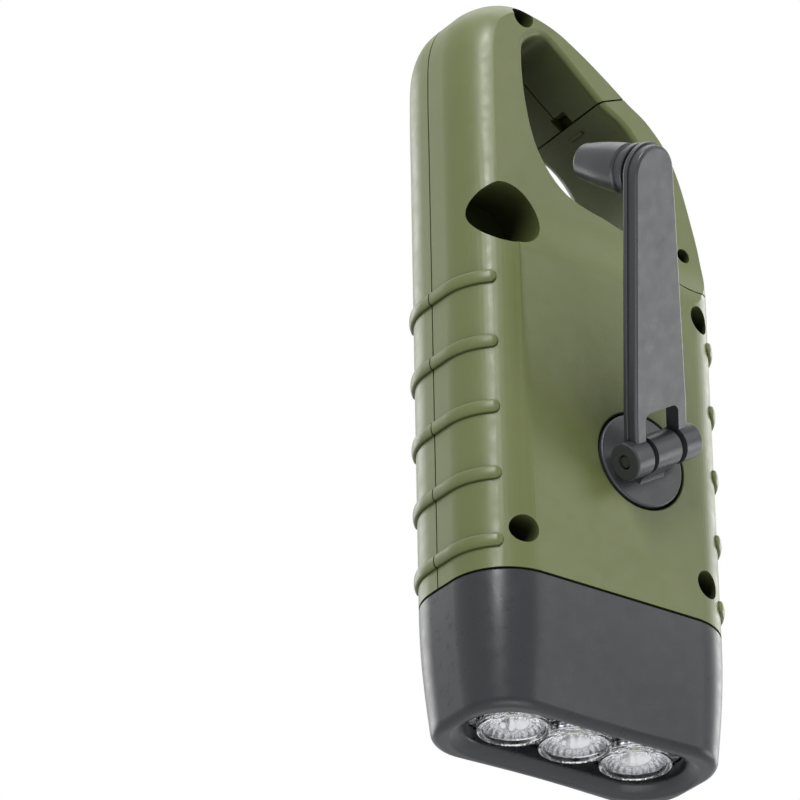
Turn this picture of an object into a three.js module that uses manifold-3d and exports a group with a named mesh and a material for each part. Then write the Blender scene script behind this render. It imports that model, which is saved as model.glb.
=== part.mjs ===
// Hand crank flashlight with a solar panel, a fold-out crank and a carabiner loop.
// Millimetres. It stands on its lamp end: +Z runs from the lamps to the loop,
// the solar panel faces -Y and the crank is on the +Y side.
import * as THREE from 'three';
import { mergeVertices } from 'three/addons/utils/BufferGeometryUtils.js';
import Module from 'manifold-3d';

const wasm = await Module();
wasm.setup();

const { degToRad, lerp, smoothstep } = THREE.MathUtils;

// Driving dimensions of the housing
const gap = 0.3;
const overrun = 5;
const width = 54;
const depth = 28;
const height = 139.8;
const cornerRadius = 10.9;
const wall = 2;
const partingY = -1;
const seamZ = 24.5;
const halfWidth = width / 2;
const halfDepth = depth / 2;

// How far in from the housing's sides some features lie
const inset = {
  lowScrew: 7.7, midScrew: 6.5, loopScrew: 12, gatePin: 6.5, ribEnd: 4.6, solarFrame: 9.5,
  solarWindow: 15.8, buttonFlange: 2.4, boardEdge: 3.6, boardFarEdge: 14.2,
};

// The housing's outline, up the left side, over the loop and down the right side
const outlineShares = [
  [-1, 0.6], [-1, 0.658], [-0.963, 0.715], [-0.9, 0.765], [-0.815, 0.819], [-0.704, 0.862],
  [-0.537, 0.896], [-0.37, 0.916], [-0.185, 0.941], [0.018, 0.966], [0.222, 0.987],
  [0.426, 0.998], [0.611, 1], [0.778, 0.987], [0.911, 0.963], [0.985, 0.923], [1, 0.866], [1, 0.8],
];
const outlineSteps = 36;
const edgeSteps = 5;
const ridge = { startZ: 101, endZ: 116, inset: 7 };

// The carabiner loop: its opening, and the sunk bands round it on both faces
const loopShares = [
  [0.389, 0.95], [0.544, 0.93], [0.563, 0.898], [0.541, 0.847], [0.496, 0.805], [0.441, 0.778],
  [0.348, 0.752], [0.219, 0.732], [0.07, 0.723], [-0.104, 0.718], [-0.26, 0.712], [-0.42, 0.712],
  [-0.507, 0.742], [-0.515, 0.787], [-0.463, 0.822], [-0.37, 0.851], [-0.265, 0.869],
  [-0.141, 0.88], [-0.06, 0.89], [0.085, 0.911], [0.237, 0.934],
];
const loop = {
  steps: 38, rimRadius: 1.2, frontSink: 1.6, rearSink: 3.35, rearTilt: 3.6, startZ: 84, endZ: 99,
};

// The sprung gate in the loop
const gateSize = {
  pinX: inset.gatePin - halfWidth, pinZ: 98.7, rootRadius: 8.6, rootStart: degToRad(-150),
  rootEnd: degToRad(12),
  splitX: -6.9, splitZ: 125.85, splitAngle: degToRad(-25), splitReach: 12,
  lugRadius: 4.6, lugHalf: 3.9, neckStart: degToRad(-118), neckEnd: degToRad(-62),
  slotStart: degToRad(-122), slotEnd: degToRad(-34),
  tongueLength: 2.2, tongueWidth: 3.4, tongueBack: 1, tongueFront: 3.4,
};
const gatePinSize = { radius: 1.1, headRadius: 1.9, headHeight: 1.1, frontInset: 1.7, rearInset: 4.8 };
const springSize = { radius: 2.5, wire: 0.4, pitch: 1.05, turns: 4, pocketRadius: 3.4, pocketDepth: 6.2 };

// Ribs round both sides of the housing
const rib = {
  count: 5, firstZ: 29.5, pitch: 12.6, half: 1.1, crestHalf: 0.55, proud: 0.8,
  endX: halfWidth - inset.ribEnd,
};

// Screws that close the housing from the rear
const screw = {
  headRadius: 2, headHeight: 1.5, shankRadius: 1, boreRadius: 2.55, loopBoreRadius: 2.2,
  floorY: 3.9, tipY: -8.2, bossWall: 1.4, slotWidth: 0.6, slotDepth: 0.5,
};
const screwHeight = { low: seamZ + 7.3, mid: loop.startZ, loop: height - 4.7 };
const screwSpots = [
  { x: halfWidth - inset.lowScrew, z: screwHeight.low, bore: screw.boreRadius, boss: true },
  { x: inset.lowScrew - halfWidth, z: screwHeight.low, bore: screw.boreRadius, boss: true },
  { x: inset.midScrew - halfWidth, z: screwHeight.mid, bore: screw.boreRadius, boss: true },
  { x: halfWidth - inset.loopScrew, z: screwHeight.loop, bore: screw.loopBoreRadius, boss: false },
];

// The hollow of the housing and its floor behind the solar panel
const hollow = { floorY: -9.2, topZ: 82, collarTopZ: 28.4 };

// Solar panel and its frame
const solar = {
  halfWidth: halfWidth - inset.solarFrame, lowZ: 31.2, highZ: 81, lowRadius: 2, highRadius: 5.2,
  crown: 0.5, proud: 0.9, seatDepth: 2.8, bevel: 0.9, windowHalf: halfWidth - inset.solarWindow,
  windowLowZ: 37.3, windowHighZ: 75.2, windowRadius: 2, rebate: 1.4, panelThickness: 1.5,
};

// Lamp head and what is in it
const head = {
  edgeRadius: 2.6, waist: 0.7, waistTopZ: 9, floor: 4, collarWall: 1.5, collarTopZ: 27.5,
  pocketHalf: 21.5, pocketRadius: 8.5, pocketLip: 1.4, chamber: 22, chamberRadius: 9.3, ledgeZ: 12.6,
};
const lens = {
  pitch: 12.7, faceZ: 1.5, rimRadius: 6.05, dishRadius: 5.3, dishDepth: 0.9, eyeRadius: 2.9, eyeRise: 0.9,
  backRadius: 3.9, backZ: 11.2, boreRadius: 2.8, boreZ: 6.2, flange: 1.2,
};
const led = { radius: 2.35, rimRadius: 2.75, rimHeight: 0.9, tipZ: 6.8, boardThickness: 1.6 };

// Push switch in the left side
const button = {
  y: -5.5, z: 38.4, width: 4.4, height: 5.6, proud: 1, radius: 1,
  inner: halfWidth - inset.buttonFlange, flange: 0.8, flangeThickness: 1, travel: 0.8,
};
const switchBox = { length: 4.4, low: -8.9, high: -2.6, height: 4.8 };

// Crank: hub, folding arm and knob
const crank = {
  x: -5.5, z: 51.4, direction: degToRad(31.2), lift: degToRad(34), pivotHeight: 4.4, reach: 48.7,
};
const hub = {
  radius: 8.6, thickness: 2.8, proud: 0.3, sideGap: 0.4, underGap: 0.5, seatWall: 1.6,
  shaftRadius: 3.1, shaftEndY: 5.9, earHalf: 3, earRadius: 3.2,
  screwRadius: 1.1, screwHead: 4.3, screwHeadHeight: 1.2, screwDepth: 4,
};
const arm = {
  rootHalf: 7.6, tipHalf: 5.3, thickness: 2.8, bevel: 0.5, slotHalf: 4.2, slotLength: 9.4,
  knuckleRadius: 3.3, knuckleHalf: 8.3, pinRadius: 1, pinHalf: 8, bossRadius: 4.5, bossHeight: 0.6,
};
const knobSize = {
  baseRadius: 4.7, baseHeight: 1.1, neckRadius: 3.9, neckHeight: 0.9, bodyRadius: 4.4, tipRadius: 3,
  tipRound: 1, length: 12.6, axleRadius: 1.3, axleDepth: 9.6, axleInArm: 1.2,
};
const recess = { radius: 6.2, floorY: 2.4 };

// Gears between the crank and the generator, each layer from its lowest Y
const tooth = { pressure: degToRad(25), addendumShare: 0.8, dedendumShare: 1.12, backlash: 0.12 };
const layer = { first: 6.2, second: 3.4, third: 0.6, wheel: 2.4, pinion: 2.2 };
const crankGear = { count: 36, module: 0.8 };
const gearOne = { wheel: 34, module: 0.62, pinion: 10, towards: degToRad(76) };
const gearTwo = { wheel: 32, module: 0.52, pinion: 10, towards: degToRad(-34) };
const rotor = {
  pinion: 10, towards: degToRad(-80), magnetRadius: 5.6, magnetLow: -7.5, magnetHigh: -2.6, footY: -10,
};
const axle = { radius: 0.9, footY: -1.5, bossRadius: 2 };
const stator = {
  coilInner: 6.2, coilOuter: 8.1, caseWall: 0.8, caseLow: -8.9, caseHigh: -2.2, shaftHole: 1.6,
};
const plate = {
  lowX: -12, highX: 21.5, lowZ: 42, highZ: 77.5, low: -1.8, thickness: 1.2, radius: 3,
  postRadius: 2.2, pegRadius: 1, pegRise: 0.3,
};
const platePosts = [
  [plate.lowX + plate.radius, plate.highZ - plate.radius],
  [plate.highX - plate.radius, plate.highZ - plate.radius],
  [plate.lowX + plate.radius, plate.lowZ + plate.radius],
];

// Rechargeable cells and the circuit board
const cell = {
  count: 3, radius: 5.8, length: 5.4, edge: 0.4, y: -1.5, z: 34.6, cradleHalf: 0.8, cradleRise: 3.6,
};
const board = {
  lowX: inset.boardEdge - halfWidth, highX: inset.boardFarEdge - halfWidth, lowZ: 42.6, highZ: 66,
  low: -7, thickness: 1.2, radius: 1.4,
  postRadius: 1.7, pegRadius: 0.8, pegRise: 0.6, postInset: 2.8,
};

// Colours
function finish(color, roughness, metalness = 0) {
  return new THREE.MeshStandardMaterial({ color, roughness, metalness });
}
const olive = finish(0x6f7a50, 0.5);
const charcoal = finish(0x3c3e42, 0.5);
const crankGrey = finish(0x46474b, 0.45);
const black = finish(0x141416, 0.6);
const copperCell = finish(0xa5785a, 0.35);
const clear = finish(0xe6edf2, 0.08);
const warmWhite = finish(0xf4f1e2, 0.15);
const steel = finish(0xc4c6c8, 0.3, 1);
const nylon = finish(0xe4e1d6, 0.5);
const boardGreen = finish(0x2f6b45, 0.6);
const copperWire = finish(0xb3642f, 0.35, 1);

// Solids, joins and cuts
function solid(geometry) {
  const bare = geometry.clone();
  bare.deleteAttribute('normal');
  bare.deleteAttribute('uv');
  const merged = mergeVertices(bare, 1e-4);
  const points = merged.attributes.position;
  const corners = [new THREE.Vector3(), new THREE.Vector3(), new THREE.Vector3()];
  const faces = [];
  let volume = 0;
  for (let i = 0; i < merged.index.count; i += 3) {
    const face = [merged.index.getX(i), merged.index.getX(i + 1), merged.index.getX(i + 2)];
    if (new Set(face).size < 3) continue;
    const [a, b, c] = face.map((point, k) => corners[k].fromBufferAttribute(points, point));
    volume += a.dot(b.cross(c));
    faces.push(...face);
  }
  if (volume < 0) faces.reverse();
  const mesh = new wasm.Mesh({
    numProp: 3,
    vertProperties: new Float32Array(points.array),
    triVerts: new Uint32Array(faces),
  });
  return new wasm.Manifold(mesh);
}

function geometryOf(manifold) {
  const mesh = manifold.getMesh();
  const geometry = new THREE.BufferGeometry();
  geometry.setAttribute('position', new THREE.BufferAttribute(new Float32Array(mesh.vertProperties), 3));
  geometry.setIndex(new THREE.BufferAttribute(new Uint32Array(mesh.triVerts), 1));
  geometry.computeVertexNormals();
  return geometry;
}

function join(first, ...others) {
  return others.reduce((sum, next) => sum.add(next), first);
}

function cut(first, ...others) {
  return others.reduce((rest, next) => rest.subtract(next), first);
}

const root = new THREE.Group();

function place(name, body, material, parent = root) {
  const mesh = new THREE.Mesh(geometryOf(body), material);
  mesh.name = name;
  parent.add(mesh);
}

// A box between two corners
function box(low, high) {
  const size = high.map((value, axis) => value - low[axis]);
  const geometry = new THREE.BoxGeometry(...size);
  geometry.translate(...size.map((value, axis) => low[axis] + value / 2));
  return solid(geometry);
}

// A round bar along Y
function barY(radius, x, z, lowY, highY, sides = 20) {
  const geometry = new THREE.CylinderGeometry(radius, radius, highY - lowY, sides);
  geometry.translate(x, (lowY + highY) / 2, z);
  return solid(geometry);
}

// A round bar along X
function barX(radius, lowX, highX, y, z, sides = 20) {
  const geometry = new THREE.CylinderGeometry(radius, radius, highX - lowX, sides);
  geometry.rotateZ(Math.PI / 2);
  geometry.translate((lowX + highX) / 2, y, z);
  return solid(geometry);
}

// A shape drawn in X and Z, raised along Y
function raiseY(shape, lowY, highY, curveSegments = 12, bevel = 0) {
  const geometry = new THREE.ExtrudeGeometry(shape, {
    depth: highY - lowY - 2 * bevel,
    curveSegments,
    bevelEnabled: bevel > 0,
    bevelThickness: bevel,
    bevelSize: bevel,
    bevelOffset: -bevel,
    bevelSegments: 1,
  });
  geometry.rotateX(Math.PI / 2);
  geometry.translate(0, highY - bevel, 0);
  return solid(geometry);
}

// A shape drawn in X and Y, raised along Z
function raiseZ(shape, lowZ, highZ, curveSegments = 12) {
  const options = { depth: highZ - lowZ, curveSegments, bevelEnabled: false };
  const geometry = new THREE.ExtrudeGeometry(shape, options);
  geometry.translate(0, 0, lowZ);
  return solid(geometry);
}

// A shape drawn in Y and Z, raised along X
function raiseX(shape, lowX, highX, curveSegments = 6) {
  const options = { depth: highX - lowX, curveSegments, bevelEnabled: false };
  const geometry = new THREE.ExtrudeGeometry(shape, options);
  geometry.rotateZ(Math.PI / 2);
  geometry.rotateY(Math.PI / 2);
  geometry.translate(lowX, 0, 0);
  return solid(geometry);
}

// A profile of radius and height turned about an axis along Y
function turnY(profile, x, z, sides = 24) {
  const geometry = new THREE.LatheGeometry(profile.map(([r, y]) => new THREE.Vector2(r, y)), sides);
  geometry.translate(x, 0, z);
  return solid(geometry);
}

// A profile of radius and height turned about an axis along Z
function turnZ(profile, x, y, sides = 24) {
  const geometry = new THREE.LatheGeometry(profile.map(([r, z]) => new THREE.Vector2(r, z)), sides);
  geometry.rotateX(Math.PI / 2);
  geometry.translate(x, y, 0);
  return solid(geometry);
}

// A skin over rings with as many points each, closed by flat ends seen along the missing axis
function loft(rings, across, up) {
  const count = rings[0].length;
  const faces = [];
  for (let k = 0; k + 1 < rings.length; k += 1) {
    for (let i = 0; i < count; i += 1) {
      const j = (i + 1) % count;
      const [a, b, c, d] = [k * count + i, k * count + j, (k + 1) * count + j, (k + 1) * count + i];
      faces.push(a, b, c, a, c, d);
    }
  }
  for (const ring of [0, rings.length - 1]) {
    const contour = rings[ring].map((point) => new THREE.Vector2(point[across], point[up]));
    const triangles = THREE.ShapeUtils.triangulateShape(contour, []);
    const covered = triangles.reduce((sum, face) => (
      sum + THREE.ShapeUtils.area(face.map((i) => contour[i]))
    ), 0);
    const wanted = Math.sign(THREE.ShapeUtils.area(contour)) * (ring === 0 ? -1 : 1);
    for (const face of triangles) {
      const turned = Math.sign(covered) === wanted ? face : [...face].reverse();
      faces.push(...turned.map((i) => ring * count + i));
    }
  }
  const geometry = new THREE.BufferGeometry();
  const positions = rings.flat().flatMap((point) => point.toArray());
  geometry.setAttribute('position', new THREE.Float32BufferAttribute(positions, 3));
  geometry.setIndex(faces);
  return solid(geometry);
}

// A closed ring in X and Y with round corners, its long sides drawn in by a waist
function roundRing(halfX, halfY, radius, z, waist = 0, sideSteps = 1) {
  const cornerSteps = 5;
  const ring = [];
  for (const [corner, [sx, sy]] of [[1, 1], [-1, 1], [-1, -1], [1, -1]].entries()) {
    const [cx, cy] = [sx * (halfX - radius), sy * (halfY - radius)];
    for (let i = 0; i <= cornerSteps; i += 1) {
      const angle = (corner + i / cornerSteps) * Math.PI / 2;
      ring.push([cx + radius * Math.cos(angle), cy + radius * Math.sin(angle)]);
    }
    for (let i = 1; sx === sy && i < sideSteps; i += 1) {
      ring.push([cx * (1 - 2 * i / sideSteps), sy * halfY]);
    }
  }
  return ring.map(([x, y]) => {
    const drawn = waist * Math.cos(Math.PI / 2 * x / halfX) ** 2;
    return new THREE.Vector3(x, y - drawn * y / halfY, z);
  });
}

// A flat outline with round corners, two radii and a crown on its upper edge
function roundShape(lowX, highX, lowY, highY, lowRadius, highRadius = lowRadius, crown = 0) {
  const shape = new THREE.Shape();
  shape.moveTo(lowX + lowRadius, lowY);
  shape.lineTo(highX - lowRadius, lowY);
  shape.absarc(highX - lowRadius, lowY + lowRadius, lowRadius, -Math.PI / 2, 0, false);
  shape.absarc(highX - highRadius, highY - highRadius, highRadius, 0, Math.PI / 2, false);
  if (crown > 0) {
    shape.quadraticCurveTo((lowX + highX) / 2, highY + 2 * crown, lowX + highRadius, highY);
  }
  shape.absarc(lowX + highRadius, highY - highRadius, highRadius, Math.PI / 2, Math.PI, false);
  shape.absarc(lowX + lowRadius, lowY + lowRadius, lowRadius, Math.PI, 1.5 * Math.PI, false);
  return shape;
}

// A capsule outline, long in X
function capsule(halfLength, radius) {
  const shape = new THREE.Shape();
  shape.absarc(halfLength - radius, 0, radius, -Math.PI / 2, Math.PI / 2, false);
  shape.absarc(radius - halfLength, 0, radius, Math.PI / 2, 1.5 * Math.PI, false);
  return shape;
}

// Places in the drawing plane of X and Z
function along(from, distance, angle) {
  return { x: from.x + distance * Math.cos(angle), z: from.z + distance * Math.sin(angle) };
}
function meshReach(wheelCount, pinionCount, module) {
  return (wheelCount + pinionCount) * module / 2;
}
const crankSpot = { x: crank.x, z: crank.z };
const spotOne = along(
  crankSpot,
  meshReach(crankGear.count, gearOne.pinion, crankGear.module),
  gearOne.towards,
);
const spotTwo = along(
  spotOne,
  meshReach(gearOne.wheel, gearTwo.pinion, gearOne.module),
  gearTwo.towards,
);
const rotorSpot = along(
  spotTwo,
  meshReach(gearTwo.wheel, rotor.pinion, gearTwo.module),
  rotor.towards,
);
const knobSpot = along(crankSpot, crank.reach, Math.PI / 2 - crank.direction);
const pivotY = halfDepth + crank.pivotHeight;
const rearWallY = halfDepth - wall;
const frontEdgeY = partingY - gap / 2;
const rearEdgeY = partingY + gap / 2;

// The outer form of the housing, with edges rounded on both faces
function housingForm() {
  const curve = new THREE.SplineCurve(
    outlineShares.map(([x, z]) => new THREE.Vector2(x * halfWidth, z * height)),
  );
  const foot = seamZ - overrun;
  const stations = [{ point: new THREE.Vector2(-halfWidth, foot), inward: new THREE.Vector2(1, 0) }];
  for (let i = 0; i <= outlineSteps; i += 1) {
    const tangent = curve.getTangent(i / outlineSteps);
    const inward = new THREE.Vector2(tangent.y, -tangent.x);
    stations.push({ point: curve.getPoint(i / outlineSteps), inward });
  }
  stations.push({ point: new THREE.Vector2(halfWidth, foot), inward: new THREE.Vector2(-1, 0) });
  const levels = [];
  for (let i = 0; i <= edgeSteps; i += 1) {
    const turn = i / edgeSteps * Math.PI / 2;
    levels.push([cornerRadius * (1 - Math.sin(turn)), -halfDepth + cornerRadius * (1 - Math.cos(turn))]);
  }
  const mirrored = levels.map(([inset, y]) => [inset, -y]).reverse();
  const rings = [...levels, ...mirrored].map(([inset, y]) => stations.map(({ point, inward }) => {
    const limit = lerp(cornerRadius, ridge.inset, smoothstep(point.y, ridge.startZ, ridge.endZ));
    const step = Math.min(inset, limit);
    return new THREE.Vector3(point.x + inward.x * step, y, point.y + inward.y * step);
  }));
  const below = box([-width, -depth, 0], [width, depth, seamZ]);
  return cut(loft(rings, 'x', 'z'), below);
}

// The faces of the loop's band: level on the front, tilted on the rear
function frontBandY() {
  return -halfDepth + loop.frontSink;
}
function rearBandY(x) {
  return halfDepth - loop.rearSink + loop.rearTilt * x / width;
}

// What is taken off a face so that it slopes down to the band
function bandCut(face, bandY) {
  const steps = 6;
  const beyond = face + Math.sign(face) * overrun;
  const top = height + overrun;
  const rings = [-width, width].map((x) => {
    const ring = [];
    for (let i = 0; i <= steps; i += 1) {
      const share = i / steps;
      const y = lerp(face, bandY(x), smoothstep(share, 0, 1));
      ring.push(new THREE.Vector3(x, y, lerp(loop.startZ, loop.endZ, share)));
    }
    ring.push(new THREE.Vector3(x, bandY(x), top));
    ring.push(new THREE.Vector3(x, beyond, top));
    ring.push(new THREE.Vector3(x, beyond, loop.startZ));
    return ring;
  });
  return loft(rings, 'y', 'z');
}

// The opening of the loop, with a rounded rim on both bands
function loopOpening() {
  const curve = new THREE.CatmullRomCurve3(
    loopShares.map(([x, z]) => new THREE.Vector3(x * halfWidth, 0, z * height)),
    true,
  );
  const stations = [];
  for (let i = 0; i < loop.steps; i += 1) {
    const tangent = curve.getTangent(i / loop.steps);
    const outward = new THREE.Vector2(-tangent.z, tangent.x);
    stations.push({ point: curve.getPoint(i / loop.steps), outward });
  }
  const r = loop.rimRadius;
  const near = r * (1 - Math.SQRT1_2);
  const profile = [[r, -overrun], [r, 0], [near, near], [0, r]];
  const front = profile.map(([out, inset]) => [out, () => frontBandY() + inset]);
  const rear = profile.map(([out, inset]) => [out, (x) => rearBandY(x) - inset]).reverse();
  const rings = [...front, ...rear].map(([out, level]) => stations.map(({ point, outward }) => (
    new THREE.Vector3(point.x + outward.x * out, level(point.x), point.z + outward.y * out)
  )));
  return loft(rings, 'x', 'z');
}

// The stretch of the loop that is the gate, grown by a margin at its root and its split
function gateZone(margin) {
  const g = gateSize;
  const radius = g.rootRadius + margin;
  const split = (reach) => ({
    x: g.splitX + reach * Math.cos(g.splitAngle) - margin * Math.sin(g.splitAngle),
    z: g.splitZ + reach * Math.sin(g.splitAngle) + margin * Math.cos(g.splitAngle),
  });
  const inner = split(g.splitReach);
  const outer = split(-g.splitReach);
  const shoulder = along({ x: g.pinX, z: g.pinZ }, radius, g.rootStart);
  const shape = new THREE.Shape();
  shape.moveTo(inner.x, inner.z);
  shape.lineTo(outer.x, outer.z);
  shape.lineTo(-width, outer.z);
  shape.lineTo(-width, shoulder.z);
  shape.absarc(g.pinX, g.pinZ, radius, g.rootStart, g.rootEnd, false);
  return raiseY(shape, -depth, depth, 18);
}

// The lug of the housing that the gate swings on, or the gate's slot for it with a clearance
function gateLug(clearance, start, end) {
  const g = gateSize;
  const half = g.lugHalf + clearance;
  const sector = new THREE.Shape();
  sector.absarc(g.pinX, g.pinZ, g.rootRadius + 2 * gap, start, end, false);
  sector.lineTo(g.pinX, g.pinZ);
  const neck = raiseY(sector, -half, half, 8);
  return join(barY(g.lugRadius + clearance, g.pinX, g.pinZ, -half, half, 20), neck);
}

// The latch tongue on the tip of the gate, or its notch, which is open towards the loop's inside
function latchTongue(clearance, release) {
  const g = gateSize;
  const half = g.tongueWidth / 2 + clearance;
  const shape = new THREE.Shape();
  shape.moveTo(-g.tongueBack - clearance, -g.tongueLength);
  shape.lineTo(g.tongueFront + clearance + release, -g.tongueLength);
  shape.lineTo(g.tongueFront + clearance + release, g.tongueLength + clearance);
  shape.lineTo(-g.tongueBack - clearance, g.tongueLength + clearance);
  const geometry = new THREE.ExtrudeGeometry(shape, { depth: 2 * half, bevelEnabled: false });
  geometry.rotateX(Math.PI / 2);
  geometry.translate(0, half, 0);
  geometry.rotateY(-g.splitAngle);
  geometry.translate(g.splitX, 0, g.splitZ);
  return solid(geometry);
}

function gatePinBores() {
  const { pinX, pinZ } = gateSize;
  const p = gatePinSize;
  const frontFloor = -halfDepth + p.frontInset + p.headHeight + gap;
  const rearFloor = halfDepth - p.rearInset - p.headHeight - gap;
  return join(
    barY(p.radius + gap, pinX, pinZ, -depth, depth),
    barY(p.headRadius + gap, pinX, pinZ, -depth, frontFloor),
    barY(p.headRadius + gap, pinX, pinZ, rearFloor, depth),
  );
}

function springPocket() {
  const low = -gateSize.lugHalf - gap;
  return barY(springSize.pocketRadius, gateSize.pinX, gateSize.pinZ, low, low + springSize.pocketDepth);
}

// Ribs with round ends, as raised hoops that leave both faces free
function ribHoops() {
  const base = rib.half + wall / 4;
  const steps = [
    [-base, -wall / 2], [-rib.crestHalf, rib.proud], [rib.crestHalf, rib.proud], [base, -wall / 2],
  ];
  const rings = steps.map(([z, out]) => (
    roundRing(halfWidth + out, halfDepth + out, cornerRadius + out, z)
  ));
  const middle = cut(
    box([-rib.endX, -depth, -overrun], [rib.endX, depth, overrun]),
    barY(base, rib.endX, 0, -depth - overrun, depth + overrun, 12),
    barY(base, -rib.endX, 0, -depth - overrun, depth + overrun, 12),
  );
  const pair = cut(loft(rings, 'x', 'y'), middle);
  return Array.from({ length: rib.count }, (_, i) => pair.translate([0, 0, rib.firstZ + i * rib.pitch]));
}

// The hollow of the housing, which keeps a floor behind the panel above the head's collar
function housingHollow() {
  const rings = [seamZ - overrun, hollow.topZ].map((z) => (
    roundRing(halfWidth - wall, halfDepth - wall, cornerRadius - wall, z)
  ));
  const floor = box([-width, -depth, hollow.collarTopZ], [width, hollow.floorY, height]);
  return cut(loft(rings, 'x', 'y'), floor);
}

function screwHole({ x, z, bore }) {
  const counterbore = barY(bore, x, z, screw.floorY, depth, 20);
  const pilot = barY(screw.shankRadius + gap, x, z, screw.tipY - gap, screw.floorY + gap, 10);
  return join(counterbore, pilot);
}

function screwBosses(low, high) {
  return screwSpots.filter(({ boss }) => boss).map(({ x, z, bore }) => (
    barY(bore + screw.bossWall, x, z, low, high)
  ));
}

// A post on the front floor with a thinner peg that locates what it carries
function postWithPeg(x, z, radius, top, pegRadius, pegTop) {
  return join(
    barY(radius, x, z, hollow.floorY - wall / 2, top, 16),
    barY(pegRadius, x, z, top - gap, pegTop, 12),
  );
}

const boardPosts = [
  [board.lowX + board.postInset, board.lowZ + board.postInset],
  [board.highX - board.postInset, board.highZ - board.postInset],
];

// The outer form with its bands and its loop opened
const opened = cut(
  housingForm(),
  bandCut(-halfDepth, frontBandY),
  bandCut(halfDepth, rearBandY),
  loopOpening(),
);

// Both shells before they are parted
const lug = gateLug(0, gateSize.neckStart, gateSize.neckEnd);
const housing = cut(
  join(cut(opened, gateZone(gap)), lug, ...ribHoops()),
  latchTongue(gap, gateSize.splitReach),
  housingHollow(),
);

// The gate, with a slot for the lug and a tongue that the arm of the loop holds
function makeGate() {
  const g = gateSize;
  const tongue = latchTongue(0, 0).intersect(opened);
  const bar = cut(opened.intersect(gateZone(0)), gateLug(gap, g.slotStart, g.slotEnd));
  place('gate', cut(join(bar, tongue), gatePinBores()), olive);
}

function makeGatePin() {
  const p = gatePinSize;
  const front = -halfDepth + p.frontInset;
  const rear = halfDepth - p.rearInset;
  const dome = [
    [0, 0], [p.headRadius / 2, p.headHeight / 8], [p.headRadius, p.headHeight / 2],
    [p.headRadius, p.headHeight], [p.radius, p.headHeight],
  ];
  const profile = [
    ...dome.map(([r, y]) => [r, front + y]),
    ...dome.map(([r, y]) => [r, rear - y]).reverse(),
  ];
  place('gate_pin', turnY(profile, gateSize.pinX, gateSize.pinZ, 16), steel);
}

// The torsion spring round the pin, one wire in turns
function makeGateSpring() {
  const s = springSize;
  const steps = 9 * s.turns;
  const start = -gateSize.lugHalf + 2 * s.wire;
  const points = [];
  for (let i = 0; i <= steps; i += 1) {
    const angle = 2 * Math.PI * i * s.turns / steps;
    points.push(new THREE.Vector3(
      gateSize.pinX + s.radius * Math.cos(angle),
      start + s.pitch * s.turns * i / steps,
      gateSize.pinZ + s.radius * Math.sin(angle),
    ));
  }
  const section = new THREE.Shape();
  section.absarc(0, 0, s.wire, 0, 2 * Math.PI, false);
  const path = new THREE.CatmullRomCurve3(points);
  const options = { steps, curveSegments: 3, bevelEnabled: false, extrudePath: path };
  const wire = solid(new THREE.ExtrudeGeometry(section, options));
  place('gate_spring', wire, steel);
}

// The seat of the solar frame in the front
function solarSeat() {
  const s = solar;
  const shape = roundShape(
    -s.halfWidth - gap, s.halfWidth + gap, s.lowZ - gap, s.highZ + gap,
    s.lowRadius + gap, s.highRadius + gap, s.crown,
  );
  return raiseY(shape, -depth, -halfDepth + s.seatDepth, 6);
}

// The way of the push button through the side, and the room for its flange
function buttonWay() {
  const b = button;
  const hole = roundShape(
    b.y - b.width / 2 - gap, b.y + b.width / 2 + gap,
    b.z - b.height / 2 - gap, b.z + b.height / 2 + gap, b.radius,
  );
  const room = box(
    [-b.inner - gap, b.y - b.width / 2 - gap, b.z - b.height / 2 - b.flange - gap],
    [-b.inner + wall + b.travel + gap, b.y + b.width / 2 + gap, b.z + b.height / 2 + b.flange + gap],
  );
  return join(raiseX(hole, -width, -b.inner + wall), room);
}

function makeFrontShell() {
  const half = housing.intersect(box([-width, -depth, 0], [width, frontEdgeY, height + overrun]));
  const bosses = screwBosses(hollow.floorY - wall / 2, frontEdgeY);
  const platePegTop = plate.low + plate.thickness + plate.pegRise;
  const posts = platePosts.map(([x, z]) => (
    postWithPeg(x, z, plate.postRadius, plate.low - gap, plate.pegRadius, platePegTop)
  ));
  const boardPegTop = board.low + board.thickness + board.pegRise;
  const boardPins = boardPosts.map(([x, z]) => (
    postWithPeg(x, z, board.postRadius, board.low - gap, board.pegRadius, boardPegTop)
  ));
  const cradles = [-cell.length, cell.length].map((x) => cut(
    box(
      [x - cell.cradleHalf, hollow.floorY - wall / 2, cell.z - cell.radius + cell.edge],
      [x + cell.cradleHalf, hollow.floorY + cell.cradleRise, cell.z + cell.radius - cell.edge],
    ),
    barX(cell.radius + gap, -width, width, cell.y, cell.z, 32),
  ));
  const shell = cut(
    join(half, ...bosses, ...posts, ...boardPins, ...cradles),
    ...screwSpots.map(screwHole),
    solarSeat(),
    buttonWay(),
    barY(axle.radius + gap, rotorSpot.x, rotorSpot.z, rotor.footY - gap, hollow.floorY + gap),
    gatePinBores(),
    springPocket(),
  );
  place('front_shell', shell, olive);
}

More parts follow.
